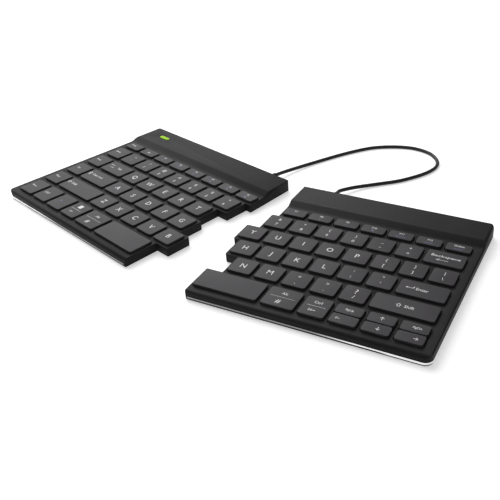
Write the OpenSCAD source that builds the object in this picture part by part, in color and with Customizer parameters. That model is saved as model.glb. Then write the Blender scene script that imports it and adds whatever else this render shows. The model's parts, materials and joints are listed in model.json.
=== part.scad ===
// Split keyboard in two low halves that a short cord joins.
// Each half is a thin tray with its keys standing in their own apertures and a raised bar
// along the rear. Millimetres, +Z up, the desk at Z = 0, the front edge towards -Y.
// Each half is drawn in its own frame: X = 0 at the left edge of the first letter key of the
// upper row, Y = 0 one key pitch in front of the lower letter row.

/* [Halves] */
// Angle of each half away from straight ahead
splay = 8.5; // [4:0.5:12]
// Right half's own origin across the desk
right_x = 24.05; // [22:0.05:40]
// Right half's own origin along the desk
right_y = -77.2; // [-90:0.1:-66]
// Left half's own origin across the desk
left_x = -124.65; // [-140:0.05:-122]
// Left half's own origin along the desk
left_y = -57.85; // [-70:0.05:-46]

/* [Keys] */
// Key pitch, across and along
key_pitch = 19; // [18.5:0.1:19.5]
// Gap between the tops of two keys in a row
key_gap = 3; // [2.6:0.1:3.6]
// Gap between the tops of two rows
row_gap = 4.2; // [3.6:0.1:5]
// Corner radius of a key top
key_corner = 1.5; // [1.2:0.1:2.2]
// Height of a key top over the deck
key_proud = 1.6; // [1.5:0.1:2.2]
// Travel of a key
key_travel = 1.5; // [1:0.1:1.5]
// Wall of a key cap
key_wall = 1; // [0.8:0.1:1.1]
// Thickness of a key's top
key_skin = 1; // [0.8:0.1:1.2]
// Bevel along a key's top edges
key_bevel = 0.35; // [0.2:0.05:0.5]
// Gap between a key and its aperture
key_clear = 0.6; // [0.5:0.05:0.8]
// Pitch of the function row and of the arrow cluster
function_pitch = 19.63; // [19.2:0.01:19.8]
// Depth of a function key
function_depth = 8.6; // [8:0.1:9.5]
// Depth of a key in the bottom row
bottom_depth = 17.5; // [16.5:0.1:18.5]
// Gap between two stacked keys of the arrow cluster
stack_gap = 0.9; // [0.7:0.1:1.2]

/* [Tray] */
// Height of the deck over the desk
deck_z = 7; // [6.6:0.1:7.6]
// Thickness of the deck
deck_t = 1.3; // [1:0.1:1.5]
// Wall along the stepped inner edge and the rear
wall = 1.2; // [1:0.1:1.25]
// Wall along the front and the outer side, which carries the trim
edge_wall = 2.6; // [2.3:0.1:3]
// Case edge beyond the keys at the outer side
side_margin = 6.9; // [6:0.1:9]
// Case edge beyond the keys at the front
front_margin = 6.3; // [6:0.1:8]
// Case edge beyond the keys along the stepped inner edge
inner_margin = 1.9; // [1.85:0.05:2.2]
// Plan radius of the outer corners
outer_corner = 5; // [3:0.5:7]
// Plan radius of the stepped inner corners
inner_corner = 0.8; // [0.4:0.1:1.2]
// Radius along the deck's front edge
front_round = 2.2; // [1.2:0.1:2.4]
// Radius along the deck's outer side
side_round = 1; // [0.6:0.1:1.6]

/* [Rear bar] */
// Height of the bar over the desk
bar_z = 9.8; // [9.4:0.1:11]
// Deck between the function keys and the bar's foot
bar_gap = 3.1; // [2.6:0.1:6]
// Length of the slope from its foot to the bar's top
slope_run = 6.7; // [5:0.1:8]
// Radius of the hollow at the slope's foot
foot_round = 4.5; // [3.5:0.1:5]
// Depth of the bar's flat top
bar_depth = 22.6; // [22:0.1:28]
// Set-back of the left bar's inner rear corner
bar_lean = 2.4; // [0:0.1:2.6]
// Radius along the bar's front top edge
top_round = 2; // [1:0.1:2.4]
// Radius along the bar's rear top edge
rear_round = 1; // [0.6:0.1:1.5]
// Radius along the bar's outer end
bar_side_round = 2.8; // [1:0.1:2.8]
// Thickness of the bar's top
bar_skin = 1.3; // [1:0.1:1.6]

/* [Base] */
// Height of the rubber feet
foot_h = 0.6; // [0.5:0.1:1]
// Diameter of a rubber foot
foot_d = 9; // [7:0.5:10]
// Thickness of the bottom cover
cover_t = 1; // [0.9:0.1:1.2]
// Set-back of the bottom cover from the case edge
cover_inset = 0.1; // [0:0.1:0.6]
// Thickness of the steel support plate
plate_t = 0.5; // [0.4:0.1:0.6]
// Thickness of the contact membrane
membrane_t = 0.3; // [0.2:0.05:0.4]
// Thickness of the dome sheet between its domes
sheet_t = 0.3; // [0.2:0.05:0.4]
// Gap round the loose layers inside the case
layer_clear = 0.4; // [0.3:0.1:0.6]

/* [Trim] */
// Height of the polished trim
trim_h = 1.4; // [1.2:0.1:2.1]
// Thickness of the polished trim
trim_t = 1.2; // [1:0.1:1.4]
// Trim beyond the case edge
trim_proud = 0.3; // [0.2:0.1:0.6]
// Fit of the trim in its rebate
trim_fit = 0.05; // [0.02:0.01:0.1]

/* [Screws] */
// Diameter of a case screw's shank
screw_d = 1.6; // [1.4:0.1:1.8]
// Diameter of a case screw's head
screw_head_d = 3; // [2.8:0.1:3.4]
// Height of a case screw's head
screw_head_h = 0.5; // [0.4:0.05:0.6]
// Length of a case screw's shank
screw_l = 3.2; // [2.4:0.1:3.4]
// Diameter of a screw boss
boss_d = 4; // [3.6:0.1:4.2]
// Gap round a screw's shank and head
screw_fit = 0.06; // [0.03:0.01:0.1]

/* [Electronics] */
// Thickness of a circuit board
board_t = 1; // [0.8:0.1:1.2]
// Length of a circuit board
board_l = 76; // [60:1:78]
// Depth of a circuit board
board_w = 10; // [8:0.5:11]
// Length of the battery
battery_l = 60; // [40:1:62]
// Depth of the battery
battery_w = 15.5; // [12:0.5:15.5]
// Thickness of the battery
battery_t = 4.8; // [3:0.1:5]
// Width of the charging socket's shell
socket_w = 9; // [8.6:0.1:9.4]
// Height of the charging socket's shell
socket_h = 3.2; // [3:0.05:3.4]
// Depth of the charging socket's shell
socket_l = 7.3; // [6.5:0.1:8]
// Sheet thickness of the charging socket's shell
socket_t = 0.35; // [0.25:0.05:0.4]
// Travel of the power switch
switch_travel = 2; // [1:0.5:3]
// Length of the indicator lens
lens_l = 11; // [8:0.5:14]
// Width of the indicator lens
lens_w = 3.6; // [2.5:0.1:5]

/* [Link cord] */
// Diameter of the cord
cord_d = 2.9; // [2.6:0.1:3.2]
// Diameter of a cord boot at the case
boot_d = 5; // [4.6:0.1:5.4]
// Free length of a cord boot
boot_l = 7; // [5:0.5:9]
// Place of the boot from the left half's inner edge
left_boot_in = 23; // [20:0.5:30]
// Place of the boot from the right half's inner edge
right_boot_in = 23; // [12:0.5:30]

/* [Hidden] */

$fn = 32;
key_fn = 16;
case_colour = "#1c1c1e";
key_colour = "#3b3a3d";
inner_colour = "#2c2c30";
rubber_colour = "#141414";
eps = 0.01;

// Heights of the layers, from the desk up
cover_top = foot_h + cover_t;
plate_top = cover_top + plate_t;
membrane_top = plate_top + membrane_t;
sheet_top = membrane_top + sheet_t;
deck_under = deck_z - deck_t;
key_top = deck_z + key_proud;
key_under = key_top - key_skin;
key_low = sheet_top + key_travel + layer_clear;
// The dome meets a pad under the key's top
pad_h = 1.2;
pad_d = 4;
dome_top = key_under - pad_h;
dome_base_d = 6;
dome_top_d = 3.4;
dome_skin = 0.5;

// Row places, front edge of each row
lower_y = key_pitch;
home_y = 2 * key_pitch;
upper_y = 3 * key_pitch;
number_y = 4 * key_pitch;
function_y = 5 * key_pitch;
row_depth = key_pitch - row_gap;
bottom_y = row_depth - bottom_depth;
front_y = bottom_y - front_margin;
slope_y = function_y + function_depth + bar_gap;
bar_y = slope_y + slope_run;
rear_y = bar_y + bar_depth;
// The case steps in the middle of each row gap
step_ys = concat(
    [front_y],
    [for (row = [lower_y, home_y, upper_y, number_y, function_y]) row - row_gap / 2],
    [rear_y]
);

// A row is a start and key widths, all in pitches
function run_to(widths, i) = i == 0 ? 0 : widths[i - 1] + run_to(widths, i - 1);
function row_keys(start, widths, y, depth, pitch = key_pitch) = [
    for (i = [0 : len(widths) - 1])
        [start + run_to(widths, i) * pitch, y, widths[i] * pitch - key_gap, depth]
];
function pick(list, from, to) = [for (i = [from : to]) list[i]];
function ones(n) = [for (i = [1 : n]) 1];
function centre(k) = [k[0] + k[2] / 2, k[1] + k[3] / 2];

// Stagger of the rows and widths of the wide keys, in pitches
home_stagger = 0.25;
lower_stagger = 0.75;
number_stagger = 0.5;
space_stagger = 0.15;
tab_u = 1.5;
caps_u = 1.75;
shift_u = 2.25;
left_alt_u = 1.25;
left_space_u = 2.4;
right_alt_u = 1.28;
right_control_u = 1.02;
field_u = 8;
function_count = 7;
arrow_count = 3;
// The left function row starts this far in from the key field's edge
function_in = 0.34;

// Right half
right_end = field_u * key_pitch;
right_upper = row_keys(0, ones(field_u), upper_y, row_depth);
right_home = row_keys(
    home_stagger * key_pitch, concat(ones(6), [field_u - home_stagger - 6]), home_y, row_depth);
right_lower = row_keys(
    lower_stagger * key_pitch, concat(ones(5), [field_u - lower_stagger - 5]), lower_y, row_depth);
right_number = row_keys(
    number_stagger * key_pitch, concat(ones(6), [field_u - number_stagger - 6]), number_y, row_depth);
right_function = row_keys(
    right_end - function_count * function_pitch, ones(function_count),
    function_y, function_depth, function_pitch);
arrow_x = right_end - arrow_count * function_pitch;
space_start = space_stagger * key_pitch;
control_start = arrow_x - right_control_u * key_pitch;
alt_start = control_start - right_alt_u * key_pitch;
function bottom_key(from, to) = [from, bottom_y, to - from - key_gap, bottom_depth];
right_space = bottom_key(space_start, alt_start);
right_alt = bottom_key(alt_start, control_start);
right_control = bottom_key(control_start, arrow_x);
stack_depth = (bottom_depth - stack_gap) / 2;
arrows_front = row_keys(arrow_x, ones(arrow_count), bottom_y, stack_depth, function_pitch);
arrows_back = row_keys(
    arrow_x, ones(arrow_count), bottom_y + stack_depth + stack_gap, stack_depth, function_pitch);
right_keys = concat(
    right_upper, right_home, right_lower, right_number, right_function,
    [right_space, right_alt, right_control], arrows_front, arrows_back
);

// Left half
field_start = -tab_u * key_pitch;
column_start = field_start - key_pitch;
left_upper = row_keys(field_start, concat([tab_u], ones(5)), upper_y, row_depth);
left_home = row_keys(field_start, concat([caps_u], ones(5)), home_y, row_depth);
left_lower = row_keys(field_start, concat([shift_u], ones(5)), lower_y, row_depth);
left_number = row_keys(field_start, ones(7), number_y, row_depth);
left_function = row_keys(
    field_start + function_in, ones(function_count), function_y, function_depth, function_pitch);
left_bottom = row_keys(
    field_start, concat(ones(3), [left_alt_u, left_space_u]), bottom_y, bottom_depth);
column_w = key_pitch - key_gap;
left_column = concat(
    [[column_start, bottom_y, column_w, bottom_depth]],
    [for (y = [lower_y, home_y, upper_y, number_y]) [column_start, y, column_w, row_depth]],
    [[column_start, function_y, column_w, function_depth]]
);
left_keys = concat(
    left_upper, left_home, left_lower, left_number, left_function, left_bottom, left_column);

// Inner case edge of each step, front to rear
function first_x(keys) = keys[0][0] - inner_margin;
function last_x(keys) = let (k = keys[len(keys) - 1]) k[0] + k[2] + inner_margin;
right_steps = [
    for (keys = [[right_space], right_lower, right_home, right_upper, right_number,
                 right_function]) first_x(keys)
];
left_steps = [
    for (keys = [left_bottom, left_lower, left_home, left_upper, left_number, left_function])
        last_x(keys)
];
right_outer = right_end - key_gap + side_margin;
left_outer = column_start - side_margin;

// A half is its outward direction, its outer edge, its inner steps and its keys
RIGHT = [1, right_outer, right_steps, right_keys];
LEFT = [-1, left_outer, left_steps, left_keys];
function outward(half) = half[0];
function outer_x(half) = half[1];
function steps(half) = half[2];
function keys_of(half) = half[3];
function bar_in(half) = steps(half)[5];
function far_in(half) = outward(half) > 0 ? min(steps(half)) : max(steps(half));

// Screws sit in the front strip and along the bar's foot: place and top of each boss
boss_r = boss_d / 2;
boss_sink = 1.2;
boss_off = 0.4;
front_boss_y = front_y + edge_wall + boss_r - boss_sink;
bar_boss_y = bar_y + boss_r + boss_off;
boss_in = 5;
boss_out = 17;
boss_shares = [0, 0.5, 1];
function boss_x(half, inner, share) =
    let (a = inner + outward(half) * boss_in)
    let (b = outer_x(half) - outward(half) * boss_out)
    a + (b - a) * share;
function boss_places(half) = concat(
    [for (t = boss_shares)
        [boss_x(half, steps(half)[0], t), front_boss_y, deck_z - deck_t / 2]],
    [for (t = boss_shares) [boss_x(half, bar_in(half), t), bar_boss_y, bar_z - bar_skin / 2]]
);

// Feet stand near the four corners of each half
foot_in = 9;
front_foot_y = front_y + foot_in;
rear_foot_y = rear_y - foot_in;
function foot_places(half) = [
    [steps(half)[0] + outward(half) * foot_in, front_foot_y],
    [outer_x(half) - outward(half) * foot_in, front_foot_y],
    [bar_in(half) + outward(half) * foot_in, rear_foot_y],
    [outer_x(half) - outward(half) * foot_in, rear_foot_y]
];

// Bar contents
board_rear = 4.6;
board_y = rear_y - board_rear - board_w;
board_in = 4;
board_top = cover_top + board_t;
left_boot_x = left_steps[5] - left_boot_in;
right_boot_x = right_steps[5] + right_boot_in;
boot_z = 4.6;
boot_flange_t = 1.2;
boot_hole_d = boot_d - boot_flange_t;
boot_clear = 0.1;
boot_ribs = 3;
battery_gap = 4;
battery_y = bar_boss_y + boss_r + boss_off;
switch_off = 20;
socket_off = 40;
socket_x = left_boot_x - socket_off;
socket_z = board_top;
switch_x = left_boot_x - switch_off;
switch_w = 3;
switch_h = 1.6;
switch_proud = 0.9;
switch_z = board_top + switch_h;
switch_gap = 0.3;
switch_base = 2.2;
port_clear = 0.3;
lens_in = 16;
lens_x = column_start + lens_in;
lens_y = bar_y + bar_depth / 2;
lens_proud = 0.2;
lens_flange = 0.8;
lens_fit = 0.1;

// Placing a half on the desk
module on_right() { translate([right_x, right_y, 0]) rotate([0, 0, splay]) children(); }
module on_left() { translate([left_x, left_y, 0]) rotate([0, 0, -splay]) children(); }
function turned(p, angle) = [
    p[0] * cos(angle) - p[1] * sin(angle),
    p[0] * sin(angle) + p[1] * cos(angle),
    p[2]
];
function right_point(p) = [right_x, right_y, 0] + turned(p, splay);
function left_point(p) = [left_x, left_y, 0] + turned(p, -splay);

// Outline of a half: two round outer corners, then the stepped inner edge
arc_steps = 8;
function arc(c, r, from, to) = [
    for (i = [0 : arc_steps])
        let (a = from + (to - from) * i / arc_steps)
        c + r * [cos(a), sin(a)]
];
// The left bar's inner end leans outwards to the rear
function lean(half, line) =
    line == len(step_ys) - 1 && outward(half) < 0 ? -bar_lean : 0;
function case_points(half) =
    let (s = outward(half))
    let (cx = outer_x(half) - s * outer_corner)
    let (front = arc([cx, front_y + outer_corner], outer_corner, -90, 90 * s - 90))
    let (rear = arc([cx, rear_y - outer_corner], outer_corner, 90 - 90 * s, 90))
    concat(
        front, rear,
        [for (i = [5 : -1 : 0], j = [1, 0])
            [steps(half)[i] + lean(half, i + j), step_ys[i + j]]]
    );
module case_outline(half, inset = 0) {
    offset(delta = -inset)
        offset(r = inner_corner)
            offset(delta = -inner_corner)
                polygon(case_points(half));
}
module between(xa, xb, ya, yb) {
    translate([min(xa, xb), ya]) square([abs(xb - xa), yb - ya]);
}
// Inside of the case from one line across it to another, with the thick outer wall
module cavity_outline(half, front, rear, gap = 0) {
    intersection() {
        case_outline(half, wall + gap);
        between(far_in(half), outer_x(half) - outward(half) * (edge_wall + gap), front, rear);
    }
}

// Side profile of the case: rounded front, flat deck, hollow foot, slope, flat bar
foot_turn = 29;
function side_profile() = concat(
    [[front_y, cover_top]],
    arc([front_y + front_round, deck_z - front_round], front_round, 180, 90),
    arc([slope_y, deck_z + foot_round], foot_round, -90, -90 + foot_turn),
    arc([bar_y, bar_z - top_round], top_round, 90 + foot_turn, 90),
    arc([rear_y - rear_round, bar_z - rear_round], rear_round, 90, 0),
    [[rear_y, cover_top]]
);
module along_x(x, length) {
    translate([x, 0, 0]) rotate([90, 0, 90]) linear_extrude(length) children();
}
module along_y(y, length) {
    translate([0, y + length, 0]) rotate([90, 0, 0]) linear_extrude(length) children();
}
// What a rounded upper edge takes away along the outer side
module side_edge(half, z, r) {
    x = outer_x(half);
    s = outward(half);
    polygon(concat(
        [[x + s, z + 1], [x + s, z - r]],
        arc([x - s * r, z - r], r, 90 - 90 * s, 90),
        [[x - s * r, z + 1]]
    ));
}

// Key shapes
module key_plan(keys, grow) {
    r = key_corner + grow;
    offset(r = r, $fn = key_fn)
        offset(delta = -r)
            for (k = keys)
                translate([k[0] - grow, k[1] - grow]) square([k[2] + 2 * grow, k[3] + 2 * grow]);
}
// A cap's section, wider than the cap below and bevelled at its top
module cap_section(from, width) {
    spread = 1;
    low = key_low - spread;
    edge = key_top - key_bevel - spread;
    polygon([
        [from - spread, low], [from + width + spread, low], [from + width + spread, edge],
        [from + width - key_bevel, key_top], [from + key_bevel, key_top], [from - spread, edge]
    ]);
}
module key_cap(k) {
    difference() {
        intersection() {
            translate([0, 0, key_low]) linear_extrude(key_top) key_plan([k], 0);
            along_x(k[0] - key_gap, k[2] + 2 * key_gap) cap_section(k[1], k[3]);
            along_y(k[1] - row_gap, k[3] + 2 * row_gap) cap_section(k[0], k[2]);
        }
        translate([0, 0, key_low - key_skin])
            linear_extrude(key_under - key_low + key_skin) key_plan([k], -key_wall);
    }
    translate(concat(centre(k), dome_top)) cylinder(d = pad_d, h = pad_h + eps);
}
module key_caps(keys) {
    color(key_colour) for (k = keys) key_cap(k);
}

// Case pieces, one module each, drawn for either half
module port(x, z, w, h) {
    translate([x - w / 2, rear_y - 3 * wall, z]) cube([w, 4 * wall, h]);
}
module rear_hole(x, d) {
    translate([x, rear_y + wall, boot_z]) rotate([90, 0, 0]) cylinder(d = d, h = 3 * wall);
}
module top_case(half, boot_x) {
    cut = 1;
    difference() {
        union() {
            difference() {
                intersection() {
                    translate([0, 0, cover_top]) linear_extrude(bar_z) case_outline(half);
                    along_x(
                        min(far_in(half), outer_x(half)) - cut,
                        abs(outer_x(half) - far_in(half)) + 2 * cut)
                        polygon(side_profile());
                }
                translate([0, 0, cover_top - cut])
                    linear_extrude(deck_under - cover_top + cut)
                        cavity_outline(half, front_y + edge_wall, rear_y);
                translate([0, 0, cover_top - cut])
                    linear_extrude(bar_z - bar_skin - cover_top + cut)
                        cavity_outline(half, bar_y + wall / 2, rear_y);
                along_y(front_y - cut, slope_y - front_y + cut) side_edge(half, deck_z, side_round);
                along_y(slope_y, rear_y - slope_y + cut)
                    side_edge(half, bar_z, bar_side_round);
            }
            for (p = boss_places(half))
                translate([p[0], p[1], cover_top]) cylinder(d = boss_d, h = p[2] - cover_top);
        }
        translate([0, 0, deck_under - cut])
            linear_extrude(deck_t + 2 * cut) key_plan(keys_of(half), key_clear);
        for (p = boss_places(half))
            translate([p[0], p[1], cover_top - cut])
                cylinder(d = screw_d + 2 * screw_fit, h = screw_l + cut);
        translate([0, 0, cover_top - cut])
            linear_extrude(trim_h + trim_fit + cut) trim_plan(half, trim_fit);
        rear_hole(boot_x, boot_hole_d + 2 * boot_clear);
    }
}
module bottom_cover(half) {
    color(case_colour)
        difference() {
            translate([0, 0, foot_h]) linear_extrude(cover_t) case_outline(half, cover_inset);
            for (p = boss_places(half))
                translate([p[0], p[1], foot_h - cover_t]) {
                    cylinder(d = screw_d + 2 * screw_fit, h = 3 * cover_t);
                    cylinder(d = screw_head_d + 2 * screw_fit, h = screw_head_h + cover_t);
                }
        }
}
// The trim runs along the front and the outer side, inset into the case's edge
module trim_plan(half, fit = 0) {
    s = outward(half);
    reach = outer_x(half) + s * 2 * trim_proud;
    intersection() {
        difference() {
            offset(delta = trim_proud) polygon(case_points(half));
            offset(delta = trim_proud - trim_t - fit) polygon(case_points(half));
        }
        union() {
            between(
                steps(half)[0] + s * (2 * inner_corner - fit), reach,
                front_y - 2 * trim_proud, front_y + outer_corner);
            between(
                outer_x(half) - s * outer_corner, reach,
                front_y, rear_y - outer_corner + fit);
        }
    }
}
module trim_strip(half) {
    color("#d9d9dc")
        translate([0, 0, cover_top]) linear_extrude(trim_h) trim_plan(half);
}
module layer(half, z, t) {
    translate([0, 0, z])
        linear_extrude(t)
            cavity_outline(half, bottom_y - key_clear, slope_y - layer_clear, layer_clear);
}
module dome(k) {
    h = dome_top - membrane_top;
    r = dome_base_d / 2;
    t = dome_top_d / 2;
    translate(concat(centre(k), membrane_top))
        rotate_extrude()
            polygon([
                [r - dome_skin, 0], [r, 0], [t, h], [0, h],
                [0, h - dome_skin], [t - dome_skin, h - dome_skin]
            ]);
}
module dome_sheet(half) {
    color("#cfcfca") {
        difference() {
            layer(half, membrane_top, sheet_t);
            for (k = keys_of(half))
                translate(concat(centre(k), membrane_top - sheet_t))
                    cylinder(d = dome_base_d - dome_skin, h = 3 * sheet_t);
        }
        for (k = keys_of(half)) dome(k);
    }
}
// A crossed pair of levers stands on each side of a dome
lever_t = 1;
lever_w = 1.2;
lever_side = 4.6;
function lever_points(reach, low, high) =
    let (h = high - low)
    let (near = low + h * (reach - lever_w) / (2 * reach - lever_w))
    let (far = low + h * reach / (2 * reach - lever_w))
    let (mid = low + h / 2)
    [
        [-reach, low], [lever_w - reach, low], [0, near], [reach - lever_w, low], [reach, low],
        [lever_w / 2, mid],
        [reach, high], [reach - lever_w, high], [0, far], [lever_w - reach, high], [-reach, high],
        [-lever_w / 2, mid]
    ];
module scissors(half) {
    color("#e6e6e2")
        for (k = keys_of(half), s = [-1, 1])
            let (c = centre(k))
            let (reach = k[3] / 2 - key_wall - layer_clear)
            translate([0, c[1], 0])
                along_x(c[0] + s * lever_side - lever_t / 2, lever_t)
                    polygon(lever_points(reach, sheet_top, key_under));
}
module feet(half) {
    color(rubber_colour)
        for (p = foot_places(half)) translate([p[0], p[1], 0]) cylinder(d = foot_d, h = foot_h);
}
module screws(half) {
    color("#b8b8ba")
        for (p = boss_places(half))
            translate([p[0], p[1], foot_h]) {
                cylinder(d = screw_head_d, h = screw_head_h);
                cylinder(d = screw_d, h = cover_t + screw_l - screw_fit);
            }
}
module cord_boot(x) {
    color(rubber_colour)
        translate([x, rear_y, boot_z])
            rotate([-90, 0, 0]) {
                translate([0, 0, -wall - boot_flange_t]) cylinder(d = boot_d, h = boot_flange_t);
                translate([0, 0, -wall - eps]) cylinder(d = boot_hole_d, h = wall + boot_l + eps);
                for (i = [0 : boot_ribs - 1])
                    translate([0, 0, i * boot_l / boot_ribs])
                        cylinder(d = boot_d, h = boot_l / boot_ribs / 2);
            }
}

// Right half
module right_top_case() { on_right() color(case_colour) top_case(RIGHT, right_boot_x); }
module right_bottom_cover() { on_right() bottom_cover(RIGHT); }
module right_trim_strip() { on_right() trim_strip(RIGHT); }
module right_support_plate() { on_right() color("#8d8f93") layer(RIGHT, cover_top, plate_t); }
module right_membrane() { on_right() color("#6f8f8a") layer(RIGHT, plate_top, membrane_t); }
module right_dome_sheet() { on_right() dome_sheet(RIGHT); }
module right_scissors() { on_right() scissors(RIGHT); }
module right_feet() { on_right() feet(RIGHT); }
module right_screws() { on_right() screws(RIGHT); }
module right_circuit_board() {
    on_right()
        color("#20523a")
            translate([right_steps[5] + board_in, board_y, cover_top])
                cube([board_l, board_w, board_t]);
}
module right_cord_boot() { on_right() cord_boot(right_boot_x); }

// Left half, which also has the power parts
module lens_plan(grow) {
    run = (lens_l - lens_w) / 2;
    hull()
        for (s = [-1, 1])
            translate([lens_x + s * run, lens_y]) circle(d = lens_w + 2 * grow);
}
module left_top_case() {
    on_left()
        color(case_colour)
            difference() {
                top_case(LEFT, left_boot_x);
                translate([0, 0, bar_z - 2 * bar_skin])
                    linear_extrude(3 * bar_skin) lens_plan(lens_fit);
                port(socket_x, socket_z - port_clear, socket_w + 2 * port_clear,
                    socket_h + 2 * port_clear);
                port(switch_x, switch_z - port_clear,
                    switch_w + switch_travel + 2 * port_clear, switch_h + 2 * port_clear);
            }
}
module left_bottom_cover() { on_left() bottom_cover(LEFT); }
module left_trim_strip() { on_left() trim_strip(LEFT); }
module left_support_plate() { on_left() color("#8d8f93") layer(LEFT, cover_top, plate_t); }
module left_membrane() { on_left() color("#6f8f8a") layer(LEFT, plate_top, membrane_t); }
module left_dome_sheet() { on_left() dome_sheet(LEFT); }
module left_scissors() { on_left() scissors(LEFT); }
module left_feet() { on_left() feet(LEFT); }
module left_screws() { on_left() screws(LEFT); }
module left_circuit_board() {
    on_left()
        color("#20523a") {
            translate([left_steps[5] - board_in - board_l, board_y, cover_top])
                cube([board_l, board_w, board_t]);
            translate([switch_x - switch_w, board_y + board_w - switch_base, board_top - eps])
                cube([2 * switch_w, switch_base, switch_z - board_top - switch_gap + eps]);
        }
}
module left_cord_boot() { on_left() cord_boot(left_boot_x); }
module indicator_lens() {
    on_left()
        color("#5fb336") {
            translate([0, 0, bar_z - bar_skin - lens_flange])
                linear_extrude(lens_flange) lens_plan(lens_flange);
            translate([0, 0, bar_z - bar_skin - eps])
                linear_extrude(bar_skin + lens_proud + eps) lens_plan(0);
        }
}
module battery() {
    on_left()
        color("#9aa0a8")
            translate([
                left_steps[5] - board_in - board_l - battery_gap - battery_l, battery_y, cover_top])
                cube([battery_l, battery_w, battery_t]);
}
module socket_plan(inset) {
    r = socket_h / 2 - inset;
    run = (socket_w - socket_h) / 2;
    hull()
        for (s = [-1, 1])
            translate([s * run, socket_h / 2]) circle(r = r);
}
module charging_socket() {
    tongue_h = 0.7;
    tongue_w = socket_w - socket_h;
    back_t = 1;
    on_left()
        color("#b9bbbf")
            translate([socket_x, rear_y - socket_l, socket_z]) {
                difference() {
                    along_y(0, socket_l) socket_plan(0);
                    along_y(back_t, socket_l) socket_plan(socket_t);
                }
                translate([-tongue_w / 2, back_t - eps, (socket_h - tongue_h) / 2])
                    cube([tongue_w, socket_l - back_t - socket_t, tongue_h]);
            }
}
module power_switch() {
    on_left()
        color("#d0d0d0")
            translate([
                switch_x - switch_travel / 2 - switch_w / 2,
                board_y + board_w - switch_base,
                switch_z])
                cube([switch_w, rear_y + switch_proud - board_y - board_w + switch_base, switch_h]);
}

// Link cord: straight out of each boot, down to the desk, then one loose loop behind the bars
cord_lift = 0.05;
cord_z = cord_d / 2 + cord_lift;
exit_run = 6;
exit_drop = 0.6;
left_exit = left_point([left_boot_x, rear_y + boot_l, boot_z]);
right_exit = right_point([right_boot_x, rear_y + boot_l, boot_z]);
cord_route = concat(
    [left_exit, left_point([left_boot_x, rear_y + boot_l + exit_run, boot_z - exit_drop])],
    [
        [-16.6, 87, cord_z + 1.3], [-11.7, 102.8, cord_z + 0.3], [-5.6, 117.5, cord_z],
        [1.2, 132, cord_z], [8.8, 145.9, cord_z], [17.5, 158.4, cord_z], [28.4, 167.4, cord_z],
        [40.8, 173.7, cord_z], [52, 175.8, cord_z], [63.9, 173.6, cord_z], [72.7, 167.3, cord_z],
        [78, 159.8, cord_z], [79.8, 151.8, cord_z], [78.8, 143.5, cord_z], [75.7, 134.4, cord_z],
        [70.3, 124, cord_z], [64.3, 114.9, cord_z], [55.4, 104.8, cord_z + 0.1],
        [47, 94.5, cord_z + 0.5], [42, 86.5, cord_z + 1.3]
    ],
    [right_point([right_boot_x, rear_y + boot_l + exit_run, boot_z - exit_drop]), right_exit]
);
cord_sides = 8;
cord_substeps = 4;
// A smooth curve through the route's points
function route_point(i) = cord_route[max(0, min(len(cord_route) - 1, i))];
function curve_point(i, t) =
    let (a = route_point(i - 1), b = route_point(i), c = route_point(i + 1), d = route_point(i + 2))
    0.5 * (2 * b + (c - a) * t + (2 * a - 5 * b + 4 * c - d) * t * t
        + (3 * b - 3 * c + d - a) * t * t * t);
cord_line = concat(
    [for (i = [0 : len(cord_route) - 2], j = [0 : cord_substeps - 1])
        curve_point(i, j / cord_substeps)],
    [right_exit]
);
left_way = turned([0, 1, 0], -splay);
right_way = turned([0, -1, 0], splay);
function unit(v) = v / norm(v);
function cord_way(i) =
    i == 0 ? left_way
    : i == len(cord_line) - 1 ? right_way
    : unit(cord_line[i + 1] - cord_line[i - 1]);
function ring(i) =
    let (w = cord_way(i))
    let (side = unit(cross(w, [0, 0, 1])))
    let (up = cross(side, w))
    [for (k = [0 : cord_sides - 1])
        let (a = 360 * (k + 0.5) / cord_sides)
        cord_line[i] + cord_d / 2 * (cos(a) * side + sin(a) * up)];
module link_cord() {
    rings = len(cord_line);
    points = [for (i = [0 : rings - 1]) each ring(i)];
    walls = [
        for (i = [0 : rings - 2], k = [0 : cord_sides - 1])
            let (n = (k + 1) % cord_sides)
            let (a = i * cord_sides + k, b = i * cord_sides + n)
            each [[a, a + cord_sides, b], [b, a + cord_sides, b + cord_sides]]
    ];
    last = (rings - 1) * cord_sides;
    near_cap = [for (k = [1 : cord_sides - 2]) [0, k, k + 1]];
    far_cap = [for (k = [1 : cord_sides - 2]) [last, last + k + 1, last + k]];
    color(rubber_colour) polyhedron(points, concat(walls, near_cap, far_cap));
}

// Left half's keys
module left_column_keys() { on_left() key_caps(left_column); }
module left_function_keys() { on_left() key_caps(left_function); }
module left_number_keys() { on_left() key_caps(left_number); }
module tab_key() { on_left() key_caps([left_upper[0]]); }
module left_upper_keys() { on_left() key_caps(pick(left_upper, 1, 5)); }
module caps_lock_key() { on_left() key_caps([left_home[0]]); }
module left_home_keys() { on_left() key_caps(pick(left_home, 1, 5)); }
module left_shift_key() { on_left() key_caps([left_lower[0]]); }
module left_lower_keys() { on_left() key_caps(pick(left_lower, 1, 5)); }
module left_control_key() { on_left() key_caps([left_bottom[0]]); }
module function_shift_key() { on_left() key_caps([left_bottom[1]]); }
module system_key() { on_left() key_caps([left_bottom[2]]); }
module left_alt_key() { on_left() key_caps([left_bottom[3]]); }
module left_space_key() { on_left() key_caps([left_bottom[4]]); }

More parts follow.
